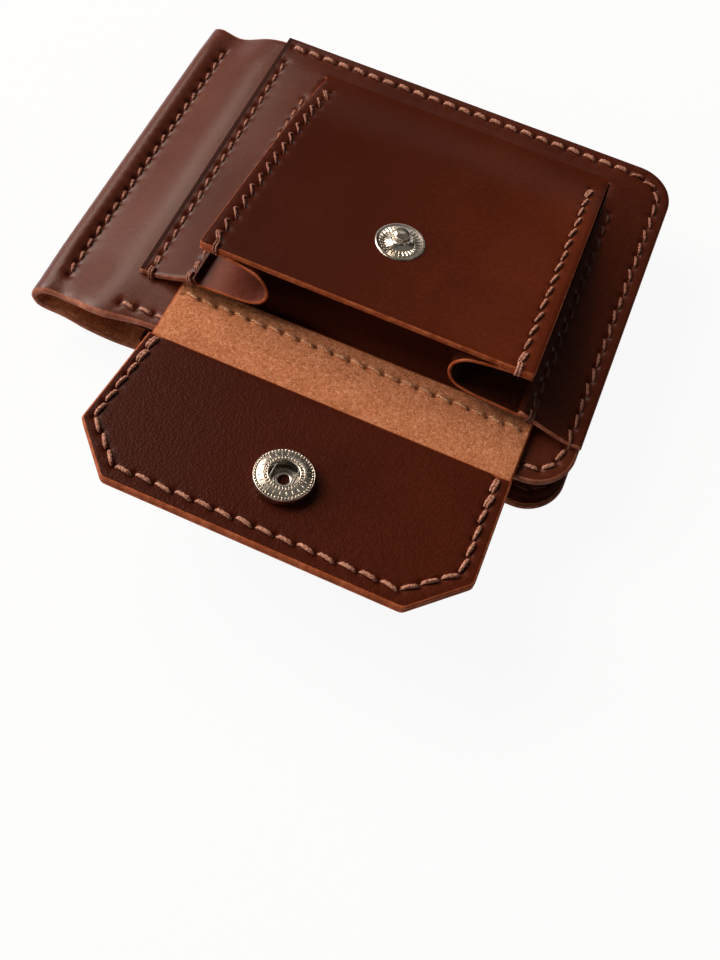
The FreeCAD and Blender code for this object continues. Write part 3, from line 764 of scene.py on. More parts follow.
def cover_face(flat):
    """Flat cover to its outer face.  The flat x is the bench x on the upper half.  The fold is
    puffed up at its near end and pinched at its far one, and the near edge bulges out there."""
    run = FRONT_WIDTH - flat[:, 0]
    share = np.interp(run, middle_run, middle_share)
    extra = np.maximum(run - COVER_LENGTH, 0) + np.maximum(-run, 0)
    mid = sampled(run, middle_run, middle_line)
    near, far = sampled(share, near_share, near_line), sampled(share, far_share, far_line)
    w_near = (1 - smooth((flat[:, 1] + 1) / 15))[:, None]
    w_far = smooth((flat[:, 1] - 75) / 10)[:, None]
    xz = mid * (1 - w_near - w_far) + near * w_near + far * w_far
    x, inward, upper = xz[:, 0], np.maximum(flat[:, 1], 0), smooth((FOLD_AT + 3 - run) / 6)
    pushed = bulge(inward, x, 1.3, 7, 0, 5)
    pushed += bulge(inward, x, upper * 2.1, 3.5, 17, 7)
    pushed += bulge(inward, x, (1 - upper) * 1.8, 7, 10, 9)
    return np.stack([xz[:, 0] + extra, flat[:, 1] - pushed, xz[:, 1]], 1)


def cover_flat_x(x):
    """Flat x of a place on the upper half."""
    upper = middle_line[:, 1] > FOLD_OUT[1] + 0.15
    return FRONT_WIDTH - np.interp(-x, -middle_line[upper, 0], middle_run[upper])


print("cover length", round(COVER_LENGTH, 1), "fold at", round(FOLD_AT, 1))

# %% [markdown]
# ## Where the needle goes
# The outer rows are marked on the flat leather before it is cut, as with a pricking iron.  The
# frame's row goes through the cover and, from the pocket's mouth on, through the panel as well,
# so both have its holes.

# %% Rows
INSET, CORNER = 2.9, 9.0                # a row's distance from the edge; the cover's round corners
POCKET_NEAR = 10.7
LEFT_X, WINDOW_LEFT_X, WINDOW_RIGHT_X, FRONT_LEFT_X, FRONT_RIGHT_X = 23.5, 33.0, 107.6, 38.0, 101.6


def arc(cx, cy, r, a0, a1, count=8):
    """Points of a circular arc between two angles in degrees."""
    return [(cx + r * math.cos(a), cy + r * math.sin(a)) for a in np.radians(np.linspace(a0, a1, count))]


def upright(x, near, far, count):
    """A straight row that runs away from the near edge."""
    return spaced([(x, near), (x, far)], count)


inner_r = CORNER - INSET


def round_free_edge(width):
    """The way of a row round both corners of a free edge."""
    return (arc(width - CORNER, CORNER, inner_r, -90, 0)
            + arc(width - CORNER, DEPTH - CORNER, inner_r, 0, 90))


frame_row = spaced([(20.6, INSET), (FRONT_WIDTH - CORNER, INSET)] + round_free_edge(FRONT_WIDTH)
                   + [(FRONT_WIDTH - CORNER, DEPTH - INSET + 0.2), (23.2, DEPTH - INSET + 0.2)])
low_part = frame_row[frame_row[:, 1] < POCKET_NEAR + 0.4]
top_part = frame_row[len(low_part) - 1:]
spine_row = np.array([(cover_flat_x(5.8 + 0.9 * y / DEPTH), y) for y in upright(0, 5.4, 78.1, 20)[:, 1]])
left_row = upright(LEFT_X, 12.2, 77.0, 17)
window_row_left = upright(WINDOW_LEFT_X, 12.3, 67.5, 14)
window_row_right = upright(WINDOW_RIGHT_X, 12.3, 67.5, 14)
front_row_left = upright(FRONT_LEFT_X, 14.9, 71.6, 15)
front_row_right = upright(FRONT_RIGHT_X, 14.9, 71.6, 15)
seam_row = spaced([(32.3, 9.5), (107.4, 9.5)], 20)
print("frame row stitches:", len(frame_row) - 1)

# %% [markdown]
# ## Cover
# One cut of 1.5 mm leather wraps both halves.  It is made whole and parted at the outermost line
# of the fold, into one piece for each half; each half has its own joint of the spine.

# %% Cover
back_edge = FRONT_WIDTH - COVER_LENGTH
cover_cut = outline([(back_edge, 0, CORNER), (FRONT_WIDTH, 0, CORNER), (FRONT_WIDTH, DEPTH, CORNER),
                     (back_edge, DEPTH, CORNER)])
back_row = spaced([(back_edge + 99.5, INSET), (back_edge + CORNER, INSET)]
                  + arc(back_edge + CORNER, CORNER, inner_r, 270, 180)
                  + arc(back_edge + CORNER, DEPTH - CORNER, inner_r, 180, 90)
                  + [(back_edge + 99.5, DEPTH - INSET)])
COVER_ROUND = 0.7
fold_ends = COVER_ROUND + 0.01
fold_line = [(FOLD_FLAT, y) for y in [fold_ends, *np.linspace(1.3, DEPTH - 1.3, 60), DEPTH - fold_ends]]
cover_upper, cover_lower = sheet(
    cover_cut, COVER_T,
    [("cover_upper", lambda m: m[:, 0] > FOLD_FLAT, cover_face),
     ("cover_lower", lambda m: m[:, 0] < FOLD_FLAT, cover_face)],
    (cover_leather, flesh_side, rose_edge), rows=(frame_row, spine_row, back_row), grid=1.6,
    seams=[fold_line], deep=0.55, round_by=COVER_ROUND)

UPPER_BEND = ("spine", "front", (1.6, 42, 9.6), (5.6, 42, 12.6))
LOWER_BEND = ("spine", "back", (1.6, 42, 8.0), (5.6, 42, 5.0))
ROOT_BEND = ("front", "flap_fold", (70, 11.6, 14.9), (70, 7.4, 14.9))
FLAP_BEND = ("flap_fold", "flap", (70, 2.7, 14.9), (70, -1.5, 14.9))


def bend(made, body_a, body_b, start, end):
    """Bakes the piece's place into its mesh; body_a and body_b are not used."""
    tuple(metres(start))
    tuple(metres(end))
    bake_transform(made)


bend(cover_upper, *UPPER_BEND)
bend(cover_lower, *LOWER_BEND)
stands_for(cover_upper, "cover_leather", "cover_front", "cover_spine")
stands_for(cover_lower, "cover_leather", "cover_back")

# %% [markdown]
# ## Card slots
# Three layers on each half: a full base and two shorter ones whose free edges are the slots.
# Flat sheets are right here, since the cover presses them flat.

# %% Card slots
CARD_T, CARD_IN, COVER_UNDER = 1.0, 0.9, COVER_TOP - COVER_T
SLOT_TOPS = {"card_base": DEPTH, "card_slot_upper": 62.0, "card_slot_lower": 46.0}


def level(z):
    """A flat face at one height."""
    return lambda flat: np.c_[flat, np.full(len(flat), z)]


slot_rows = []
for half, left, width, faces_down in (("front", 21.0, FRONT_WIDTH, True),
                                      ("back", 24.0, BACK_WIDTH, False)):
    row = spaced([(left + 1, INSET), (width - CORNER, INSET)] + round_free_edge(width)
                 + [(left + 1, DEPTH - INSET)])
    levels = [COVER_UNDER - i * CARD_T if faces_down else COVER_T + i * CARD_T for i in (1, 2, 3)]
    slot_rows.append((half, row, levels, faces_down))
    for (part, top), z in zip(SLOT_TOPS.items(), levels):
        near, side, far = CARD_IN, width - CARD_IN, min(top, DEPTH - CARD_IN)
        far_round = CORNER - CARD_IN if top == DEPTH else 0
        cut = outline([(left, near, 0), (side, near, CORNER - CARD_IN), (side, far, far_round),
                       (left, far, 0)])
        mine = row if top == DEPTH else row[:np.argmax(row[:, 1] > top - 1.2)]
        # the card edges take the near-black edge: painted shade inside the slots
        card, = sheet(cut, CARD_T - 0.02, [(f"{part}_{half}_leather", everywhere, level(z))],
                      (cover_leather, flesh_side, shaded_edge), rows=[mine], grid=4, flip=faces_down,
                      round_by=0.15)
        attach(card, half)
        stands_for(card, "card_leather", f"{part}_{half}")

# %% [markdown]
# ## Outer pocket panel and the coin pocket's front
# Both are one cut: two slits free a tongue that bends up and becomes the coin pocket's front.
# Round the window the panel is lifted by the gussets, most at the mouth.  The tongue has its own
# joint, and the cut is parted across its root, where the leather doesn't move.

# %% Faces of the panel and the front
POCKET_LEFT, WINDOW_L, WINDOW_R, SLIT_FAR = 21.0, 34.4, 105.2, 76.0
POCKET_T, SLIT, RIM = 1.4, 0.2, 3.0
SLIT_LIFT, MOUTH_LIFT = 2.22, 4.6
OPEN = math.radians(9.5)
COIN_NEAR = 13.4
HINGE_Z = COVER_TOP + SLIT_LIFT + POCKET_T / 2
ROOT_SAG, SAG_FROM = 1.3, 58.0
TONGUE_BOW, TONGUE_LONG = 0.35, 62


def root_drop(y):
    """The tongue's root sags a little, so the panel falls gently behind it."""
    return ROOT_SAG * smooth((y - SAG_FROM) / (SLIT_FAR - SAG_FROM))


def panel_lift(x, y):
    """Height of the panel's underside above the cover."""
    left = (x - POCKET_LEFT - RIM) / (WINDOW_L - POCKET_LEFT - RIM)
    right = (FRONT_WIDTH - RIM - x) / (FRONT_WIDTH - RIM - WINDOW_R)
    across = np.clip(np.minimum(left, right), 0, 1)
    soft = across ** 1.15
    deep = 1 - np.clip((y - POCKET_NEAR) / (SLIT_FAR - POCKET_NEAR), 0, 1)
    end = 1 - smooth((y - SLIT_FAR) / (DEPTH - RIM - 0.4 - SLIT_FAR))
    return soft * (SLIT_LIFT + (MOUTH_LIFT - SLIT_LIFT) * deep - root_drop(y)) * end


def panel_face(flat):
    """The panel follows the cover and is lifted towards the window."""
    x, y = flat[:, 0], flat[:, 1]
    base = cover_face(np.stack([x, y], 1))[:, 2]
    return np.stack([x, y, base + panel_lift(x, y) + POCKET_T], 1)


def tongue_face(flat):
    """The root follows the panel; the rest rises as a nearly flat plate."""
    x, y = flat[:, 0], flat[:, 1]
    out = SLIT_FAR - y
    turn = OPEN * smooth((out + 1.2) / 3.0)
    reach = np.maximum(out, 0)
    root = np.stack([np.clip(x, WINDOW_L + 0.1, WINDOW_R - 0.1), np.maximum(y, SLIT_FAR)], 1)
    bow = TONGUE_BOW * np.sin(np.pi * np.clip(reach / TONGUE_LONG, 0, 1)) - root_drop(SLIT_FAR - reach)
    top = POCKET_T / 2
    out_y = SLIT_FAR - reach * np.cos(turn) + top * np.sin(turn)
    out_z = HINGE_Z + reach * np.sin(OPEN) + top * np.cos(turn) + bow
    return np.stack([x, np.where(out > 0, out_y, y), np.where(out > 0, out_z, panel_face(root)[:, 2])], 1)


print("mouth opens", round(HINGE_Z + (SLIT_FAR - COIN_NEAR) * math.sin(OPEN) - COVER_TOP, 1), "mm")

# %% [markdown]
# The outline goes round the panel and, on its way, down and up both sides of each slit.  The
# panel's left edge and the window's sides take a fourth, near-black material: painted shade.

# %% Cut the panel and the front
T_LEFT, T_RIGHT = WINDOW_L + SLIT, WINDOW_R - SLIT      # the tongue's own edges
panel_cut = outline([
    (POCKET_LEFT, POCKET_NEAR, 0), (WINDOW_L, POCKET_NEAR, 0), (WINDOW_L, SLIT_FAR, 0),
    (T_LEFT, SLIT_FAR, 0), (T_LEFT, COIN_NEAR, 0.6), (T_RIGHT, COIN_NEAR, 0.6),
    (T_RIGHT, SLIT_FAR, 0), (WINDOW_R, SLIT_FAR, 0), (WINDOW_R, POCKET_NEAR, 0),
    (FRONT_WIDTH, POCKET_NEAR, 0), (FRONT_WIDTH, DEPTH, CORNER), (POCKET_LEFT, DEPTH, 0)])
ROOT, PANEL_ROUND, PAINTED_SHADE_TO = SLIT_FAR + 1.3, 0.22, 58
root_end = SLIT_FAR + PANEL_ROUND + 0.01
root_line = ([(T_LEFT, root_end), (T_LEFT, ROOT)]
             + [(x, ROOT) for x in np.linspace(T_LEFT + 1.5, T_RIGHT - 1.5, 46)]
             + [(T_RIGHT, ROOT), (T_RIGHT, root_end)])


def in_tongue(m):
    """Triangles that belong to the tongue."""
    return (m[:, 0] > T_LEFT) & (m[:, 0] < T_RIGHT) & (m[:, 1] < ROOT)


def painted_shade_rim(p):
    """The panel's left edge and the window's sides take painted shade; the tongue's own edges don't."""
    left = (abs(p[:, 0] - WINDOW_L) < 0.05) & (p[:, 1] < PAINTED_SHADE_TO)
    sides = (left | (abs(p[:, 0] - WINDOW_R) < 0.05)) & (p[:, 1] > POCKET_NEAR + 0.5)
    return (p[:, 0] < POCKET_LEFT + 0.1) | sides


pocket_panel, coin_front = sheet(
    panel_cut, POCKET_T,
    [("pocket_panel_leather", lambda m: ~in_tongue(m), panel_face),
     ("coin_front_leather", in_tongue, tongue_face)],
    (front_leather, flesh_side, rose_edge, shaded_edge), painted_shade=painted_shade_rim,
    rows=(top_part, left_row, window_row_left, window_row_right, front_row_left, front_row_right),
    grid=1.8, seams=[root_line], deep=0.45, round_by=PANEL_ROUND)
coin_front.data.materials[GRAIN] = tongue_leather
coin_front.data.materials[EDGE] = edge_finish
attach(pocket_panel, "front")
stands_for(pocket_panel, "pocket_leather", "pocket_panel")
bend(coin_front, "front", "coin_front", (70, SLIT_FAR + 1.2, HINGE_Z), (70, SLIT_FAR - 1.4, HINGE_Z))
stands_for(coin_front, "pocket_leather", "coin_front_panel")

# %% [markdown]
# ## Hinge and flap
# The flap's root is sewn to the cover inside the pocket's mouth and runs out over the near edge,
# with the suede side up.  The flap lies open with a slight set.  The cut is parted in the middle
# of the hinge strip, and each part lies across one joint.

# %% Hinge and flap
FLAP_L, FLAP_R, FLAP_T, LINING_T = 30.5, 109.1, 1.2, 1.0
SEAM_Y, ROOT_LAP = 9.5, 3.4
ROOT_END = SEAM_Y + ROOT_LAP
FLAP_TOP = COVER_TOP + FLAP_T
BEND_OUT, FLAP_LENGTH, CHAMFER = 1.0, 36.4, 10.0
RISE = math.radians(13)
# The flap leather's middle line, in small steps outwards from the near edge
s_line = np.linspace(-90, 60, 3001)
s_angle = RISE * smooth((s_line - BEND_OUT + 1.5) / 3.0)
s_step = s_line[1] - s_line[0]
s_y = -np.concatenate([[0], np.cumsum(np.cos(s_angle[:-1]) * s_step)]) - s_line[0]
s_z = FLAP_TOP - FLAP_T / 2 + np.concatenate([[0], np.cumsum(np.sin(s_angle[:-1]) * s_step)])


def flap_face(height):
    """Face a given height above the flap leather's middle."""
    def face(flat):
        out = -flat[:, 1]
        angle = np.interp(out, s_line, s_angle)
        return np.stack([flat[:, 0], np.interp(out, s_line, s_y) + height * np.sin(angle),
                         np.interp(out, s_line, s_z) + height * np.cos(angle)], 1)
    return face


FLAP_END = -BEND_OUT - FLAP_LENGTH
LINING_NEAR = -2.5
flap_end = [(FLAP_L, FLAP_END + CHAMFER, 1.5), (FLAP_L + CHAMFER, FLAP_END, 1.5),
            (FLAP_R - CHAMFER, FLAP_END, 1.5), (FLAP_R, FLAP_END + CHAMFER, 1.5)]
flap_cut = outline(flap_end + [(FLAP_R, ROOT_END, 0.5), (FLAP_L, ROOT_END, 0.5)])
side_l, side_r, end_row, slant = FLAP_L + 2.2, FLAP_R - 2.9, FLAP_END + 3.2, CHAMFER - 1.2
turns = [(side_l, LINING_NEAR - 0.6), (side_l, FLAP_END + CHAMFER + 1.2), (side_l + slant, end_row),
         (side_r - slant, end_row), (side_r, FLAP_END + CHAMFER + 1.2), (side_r, LINING_NEAR - 0.6)]
legs = [spaced(ends, count) for *ends, count in zip(turns, turns[1:], (6, 3, 14, 3, 6))]
flap_row = np.concatenate([legs[0][:1]] + [leg[1:] for leg in legs])
PART = 5.05
part_line = [(x, PART) for x in
             [FLAP_L + 0.46, *np.linspace(FLAP_L + 1.4, FLAP_R - 1.4, 50), FLAP_R - 0.46]]
flap_root, flap_leather = sheet(
    flap_cut, FLAP_T,
    [("flap_root_leather", lambda m: m[:, 1] > PART, flap_face(FLAP_T / 2)),
     ("flap_outer_leather", lambda m: m[:, 1] < PART, flap_face(FLAP_T / 2))],
    (suede, front_leather, edge_finish), rows=[seam_row, flap_row], grid=2.2, seams=[part_line],
    deep=0.4)
bend(flap_root, *ROOT_BEND)
stands_for(flap_root, "suede", "flap_root", "flap_strip")
bend(flap_leather, *FLAP_BEND)
stands_for(flap_leather, "flap_leather", "flap_outer")

# %% [markdown]
# The lining is pebbled leather that stops short of the hinge, so that the strip can bend.  One
# row of stitches goes through it and the flap, which is why both cuts share their holes.

# %% Lining
lining_cut = outline(flap_end + [(FLAP_R, LINING_NEAR, 0.4), (FLAP_L, LINING_NEAR, 0.4)])
lining, = sheet(
    lining_cut, LINING_T, [("flap_lining_leather", everywhere, flap_face(FLAP_T / 2 + LINING_T))],
    (lining_leather, flesh_side, edge_finish), rows=[flap_row], grid=1.6, deep=0.55, groove=0.08)
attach(lining, "flap")
stands_for(lining, "lining_leather", "flap_lining")

# %% [markdown]
# ## Gussets
# Thin strips folded into a lying U close the pocket's sides.  One leg is sewn under the panel's
# window edge, the other under the front, and the fold points into the pocket.  They flatten as
# the front comes down.  The left one is pale; the right one, which lies in the pocket's shade, is
# a darker copy of it, painted shade, and the flesh side of both is near-black, painted shade too.

# %% Gussets
GUSSET_T, NOSE, GUSSET_FAR, HOLD = 0.7, 15.6, 68.0, 0.8
GUSSET_RUN = 32.0                       # width of the strip across its fold
FOLDS_TO = (35, 40, 16.6)               # a level in bench millimetres, turned to metres but not used
ACROSS, AWAY = 80, 59                   # cells of the table its face is read from


def front_under(y):
    """Height of the front's underside."""
    return HINGE_Z + (SLIT_FAR - y) * math.tan(OPEN) - POCKET_T / 2 / math.cos(OPEN) - root_drop(y)


def gusset_line(y, side):
    """Middle of the folded strip at one y, from the window's edge round the fold to the front."""
    half = GUSSET_T / 2
    edge, window = (T_LEFT, WINDOW_L) if side > 0 else (T_RIGHT, WINDOW_R)
    upper = front_under(y) - 0.06 - half
    lower = FLAP_TOP + 0.06 + half
    x0 = window - side * HOLD
    z0 = COVER_TOP + panel_lift(np.array([x0]), np.array([y]))[0] - 0.05 - half
    radius = min(0.44 * (upper - z0), 0.5 * (upper - lower))
    centre = np.array([edge + side * (NOSE - radius), upper - radius])
    reach = centre - [x0, z0]
    slope = math.atan2(reach[1], side * reach[0]) - math.asin(min(1.0, radius / np.linalg.norm(reach)))
    turn = np.linspace(slope - math.pi / 2, math.pi / 2, 24)
    fold = np.stack([centre[0] + side * radius * np.cos(turn), centre[1] + radius * np.sin(turn)], 1)
    line = np.concatenate([[[x0, z0]], fold, [[edge, upper]]])
    run = running(line)
    return line, run / run[-1]


def gusset_face(side, height):
    """The folded strip's face, a height above its middle, read from a table of its lines."""
    ys = np.linspace(POCKET_NEAR - 2, GUSSET_FAR + 1, AWAY + 1)
    lines = [gusset_line(y, side) for y in ys]
    share = np.linspace(0, 1, ACROSS + 1)
    table = np.array([sampled(share, run, line).T for line, run in lines])

    def face(flat):
        u = flat[:, 0] / GUSSET_RUN * ACROSS
        v = (flat[:, 1] - ys[0]) / (ys[-1] - ys[0]) * AWAY
        i, j = np.clip(u.astype(int), 0, ACROSS - 1), np.clip(v.astype(int), 0, AWAY - 1)
        fu, fv = (u - i)[:, None], (v - j)[:, None]
        xz = (table[j, :, i] * (1 - fu) * (1 - fv) + table[j, :, i + 1] * fu * (1 - fv)
              + table[j + 1, :, i] * (1 - fu) * fv + table[j + 1, :, i + 1] * fu * fv)
        return np.stack([xz[:, 0], flat[:, 1], xz[:, 1]], 1)

    def raised(flat):
        return face(flat) + height * side * surface_normals(face, flat)
    return raised


# %% Cut the gussets
# the right gusset's darker copy and both flesh sides' near-black are painted shade
for side, name, hide in ((1, "left", gusset_leather), (-1, "right", shaded_leather)):
    slanted = [(u, POCKET_NEAR + 3.5 * smooth((u - 8) / 22), 0) for u in np.linspace(0, GUSSET_RUN, 25)]
    cut = outline(slanted + [(GUSSET_RUN, GUSSET_FAR, 0), (0, GUSSET_FAR, 0)])
    gusset, = sheet(
        cut, GUSSET_T, [(f"gusset_{name}_leather", everywhere, gusset_face(side, GUSSET_T / 2))],
        (hide, shaded_edge, edge_finish), grid=1.1, flip=side < 0, round_by=0.3)
    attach(gusset, "front")
    tuple(metres(FOLDS_TO))
    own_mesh(gusset)
    stands_for(gusset, "gusset_leather", f"gusset_{name}")

# %% [markdown]
# ## Stitches
# A saddle stitch is a short slanting strand that dips into a hole at each end.  It could be a
# curve with a round bevel, but the three twisted plies are what makes thread look like thread, so
# each strand is swept with a three-lobed section that turns as it goes.

# %% Thread
THREAD_R, LOBES, TWIST = 0.36, 3, 1.3   # radius, plies, turns of the plies per stitch
SECTION, STATIONS = 12, 17
# A wrap's (share of the way from hole to edge, height), from the hole over the edge and under it
WRAP = np.array([(0, -0.6), (0.06, 0.2), (0.5, 0.36), (0.9, 0.34), (1.12, -0.1), (1.2, -0.8),
                 (1.1, -1.5), (0.7, -1.7)])


def strand(path, radius=THREAD_R, lobe=0.32, twist=TWIST, section=SECTION, thin=0.0, press=1.0):
    """Swept thread along a dense 3-D path, thinner by a share at its ends and pressed flat by a
    share of its height; returns points and faces."""
    path = np.asarray(path, float)
    along = np.gradient(path, axis=0)
    along /= lengths(along)[:, None]
    side = np.cross(along, [0.3, 0.2, 0.93])
    side /= lengths(side)[:, None]
    top = np.cross(side, along)
    share = np.linspace(0, 1, len(path))
    around = np.linspace(0, 2 * math.pi, section, endpoint=False)
    radius = radius * (1 - thin * (1 - np.sin(math.pi * share) ** 0.5))[:, None]
    plies = np.cos((LOBES / 2) * (around[None] + 2 * math.pi * twist * share[:, None]))
    r = radius * (1 - lobe + lobe * np.abs(plies) * 1.6)
    points = path[:, None] + (side[:, None] * np.cos(around)[None, :, None]
                              + top[:, None] * press * np.sin(around)[None, :, None]) * r[..., None]
    n, m = len(path), section
    faces = [(i * m + j, i * m + (j + 1) % m, (i + 1) * m + (j + 1) % m, (i + 1) * m + j)
             for i in range(n - 1) for j in range(m)]
    faces += [tuple(range(m))[::-1], tuple(range((n - 1) * m, n * m))]
    return points.reshape(-1, 3), faces


def join(parts):
    """Several parts' points and faces as one."""
    points, faces, first = [], [], 0
    for p, f in parts:
        points.append(p)
        faces += [tuple(first + i for i in face) for face in f]
        first += len(p)
    return np.concatenate(points), faces


def on_face(surface, flat, height, flip=False):
    """Places a height above a bent cut."""
    n = surface_normals(surface, flat) * (-1 if flip else 1)
    return surface(flat) + n * height[:, None]


# %% [markdown]
# Sewing by hand leaves each stitch a little different.  Its slant and its place swing slowly
# along the row by a sine of its number, which gives the same row on every run.

# %% A row of stitches
SUNK, PROUD, DIVE = 0.04, 0.26, 0.12    # how deep and high a stitch lies, and how soon it dives
TWIN, WRAP_TWIN, WOBBLE = 0.24, 0.27, 0.09              # mm to each side


def stitches(name, surface, row, body=None, slant=0.3, doubled=(), wraps=(), deep=0.5, flip=False,
             radius=THREAD_R, low=0.0, thread=thread_wax, bare=0.08, press=0.68, kink=0.0):
    """One row of saddle stitches.  doubled lists stitches sewn twice; wraps lists (hole, x, y)
    runs that go from a hole over the leather's edge, bare is the share of each hole left open, and
    kink how far a stitch swings out to one side before it goes down."""
    t = np.linspace(0, 1, STATIONS)
    lift = -(SUNK + low) + PROUD * np.clip(np.sin(math.pi * t), 0, 1) ** 0.5
    lift -= (deep + 0.5) * np.exp(-(np.minimum(t, 1 - t) / DIVE) ** 2)
    parts = []
    for i, (a, b) in enumerate(zip(row[:-1], row[1:])):
        along = (b - a) / np.linalg.norm(b - a)
        side = np.array([-along[1], along[0]])
        shifts = [0.0] if i not in doubled else [-TWIN, TWIN]
        wob = WOBBLE * math.sin(2.3 * i + 0.7 * len(row))
        leans = slant * (1 + 0.35 * math.sin(1.7 * i + len(row)))
        for shift in shifts:
            s = leans * (1 - 2 * t) + kink * np.interp(t, (0, 0.7, 1), (0, 1, 0)) + shift + wob
            flat = a + (b - a) * (bare + (0.95 - bare) * t)[:, None] + side * s[:, None]
            parts.append(strand(on_face(surface, flat, lift, flip), radius, thin=0.62, press=press))
    at = np.linspace(0, len(WRAP) - 1, 22)
    share, height = (np.interp(at, range(len(WRAP)), WRAP[:, k]) for k in (0, 1))
    for hole, ex, ey in wraps:
        a, e = row[hole], np.array([ex, ey])
        run = (e - a) / np.linalg.norm(e - a)
        side = np.array([-run[1], run[0]])
        for shift in (-WRAP_TWIN, WRAP_TWIN):
            flat = a + (e - a) * share[:, None] + side * (shift + 0.15 * share)[:, None]
            parts.append(strand(on_face(surface, flat, height, flip), radius * 0.85, twist=2))
    made = new_piece(name, *join(parts), [thread])
    if body:
        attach(made, body)
    return made


def slot_face(levels):
    """The upmost card leather at each depth: base, then the slots' edges."""
    def face(flat):
        y = flat[:, 1]
        z = np.where(y < SLOT_TOPS["card_slot_lower"], levels[2],
                     np.where(y < SLOT_TOPS["card_slot_upper"], levels[1], levels[0]))
        return np.c_[flat, z]
    return face


print("points in one strand:", STATIONS * SECTION)

# %% [markdown]
# No two rows were sewn alike.  Some stitches lie steep, some nearly in line, some stand proud and
# some are pulled into the leather, so each row has its own slant, thickness and depth.

# %% Sewn rows
spine_thread = stitches("thread_spine", cover_face, spine_row, slant=-0.3, low=0.18, radius=0.42,
                        thread=shaded_thread, bare=0.2)
bend(spine_thread, *UPPER_BEND)
stitches("thread_cover_near", cover_face, low_part, "front", radius=0.42)
far_side = int(np.argmax((top_part[:, 1] > DEPTH - CORNER) & (top_part[:, 0] < FRONT_WIDTH - CORNER)))
stitches("thread_frame_side", panel_face, top_part[:far_side + 1], "front", slant=-0.5, bare=0.0,
         radius=0.36, thread=shaded_thread)
stitches("thread_frame_far", panel_face, top_part[far_side:], "front", radius=0.43, bare=0.1, press=0.95)
for name, row, x, low, yarn in (
        ("panel_left", left_row, LEFT_X, 0.17, shaded_thread),
        ("window_left", window_row_left, WINDOW_LEFT_X, 0.24, shaded_thread),
        ("window_right", window_row_right, WINDOW_RIGHT_X, 0.17, deep_shaded_thread)):
    stitches("thread_" + name, panel_face, row, "front", slant=-0.28, bare=0.16, radius=0.36, low=low,
             doubled=(0,), wraps=((0, x, POCKET_NEAR),), thread=yarn)
stitches("thread_front_left", tongue_face, front_row_left, "coin_front", slant=-0.25, bare=0.0,
         radius=0.26, kink=1.3, press=0.9, doubled=(0, 14), wraps=((0, FRONT_LEFT_X, COIN_NEAR),),
         thread=shaded_thread)
stitches("thread_front_right", tongue_face, front_row_right, "coin_front", slant=0.42, bare=0.0,
         radius=0.32, doubled=(0, 14), wraps=((0, FRONT_RIGHT_X, COIN_NEAR),))
seam_thread = stitches("thread_seam", flap_face(FLAP_T / 2), seam_row, slant=0.3, radius=0.36, low=0.02,
                       deep=0.35, bare=0.0, press=0.9, thread=dusty_lit_thread)
bend(seam_thread, *ROOT_BEND)
stitches("thread_flap", flap_face(FLAP_T / 2 + LINING_T), flap_row, "flap", slant=0.3, radius=0.39,
         press=0.9, bare=0.0, doubled=(0, 1, 30, 31))
stitches("thread_back", cover_face, back_row, "back", radius=0.42)
for half, row, levels, faces_down in slot_rows:
    stitches(f"thread_slots_{half}", slot_face(levels), row, half, flip=faces_down, thread=deep_shaded_thread)

# %% [markdown]
# ## Turned metal
# Every part of the snap is pressed or turned round an axis, so each is one profile swept round.
# Beads, ribs and ticks are added as geometry, since they catch the light one by one.

# %% Turning
ROUND = 96


def lathe(profile, closed=False, count=ROUND):
    """Points and faces of (radius, height) points swept round the z axis."""
    points, index, faces = [], {}, []
    for j, (r, h) in enumerate(profile):
        for i in range(1 if r == 0 else count):
            a = 2 * math.pi * i / count
            index[(i, j)] = len(points)
            points.append((r * math.cos(a), r * math.sin(a), h))
        if r == 0:
            index.update({(i, j): index[(0, j)] for i in range(count)})
    steps = [(j, j + 1) for j in range(len(profile) - 1)]
    for j, k in steps + ([(len(profile) - 1, 0)] if closed else []):
        for i in range(count):
            n = (i + 1) % count
            face = [index[(i, j)], index[(n, j)], index[(n, k)], index[(i, k)]]
            face = [v for m, v in enumerate(face) if v != face[m - 1]]
            if len(face) > 2:
                faces.append(tuple(face))
    return np.array(points), faces


def eased(profile, by=0.12):
    """Profile with its corners rounded by a small arc."""
    made = []
    for before, here, after in zip(profile, profile[1:], profile[2:]):
        a, p, b = (np.array(q, float) for q in (before, here, after))
        r = min(by, np.linalg.norm(a - p) / 2.2, np.linalg.norm(b - p) / 2.2)
        start = p + (a - p) / np.linalg.norm(a - p) * r
        end = p + (b - p) / np.linalg.norm(b - p) * r
        for t in (0, 0.33, 0.67, 1):
            made.append(tuple((1 - t) ** 2 * start + 2 * t * (1 - t) * p + t * t * end))
    return [profile[0]] + made + [profile[-1]]


def ball(centre, r, rings=5, count=10):
    """Small bead."""
    turns = [math.pi * k / rings for k in range(rings + 1)]
    profile = [(r * math.sin(a), -r * math.cos(a)) for a in turns]
    profile[0], profile[-1] = (0, profile[0][1]), (0, profile[-1][1])
    points, faces = lathe(profile, count=count)
    return points + centre, faces


def ridge(r0, r1, z, angle, half_width, height):
    """Small radial bar with a rounded back."""
    along = np.array([math.cos(angle), math.sin(angle), 0])
    side = np.array([-along[1], along[0], 0])
    points = []
    for r, scale in ((r0, 0.3), (r0 + 0.12, 1), (r1 - 0.12, 1), (r1, 0.3)):
        for s, h in ((-1, 0), (-0.6, 0.8), (0, 1), (0.6, 0.8), (1, 0)):
            points.append(along * r + side * s * half_width * scale * (r / r1) ** 0.5
                          + [0, 0, z + height * h * scale])
    faces = [(5 * k + m, 5 * k + m + 1, 5 * k + m + 6, 5 * k + m + 5) for k in range(3) for m in range(4)]
    faces += [(5 * k + 4, 5 * k, 5 * k + 5, 5 * k + 9) for k in range(3)]
    faces += [(0, 4, 3, 2, 1), (15, 16, 17, 18, 19)]
    return np.array(points), faces


print("points in one bead:", len(ball([0, 0, 0], 0.24)[0]))

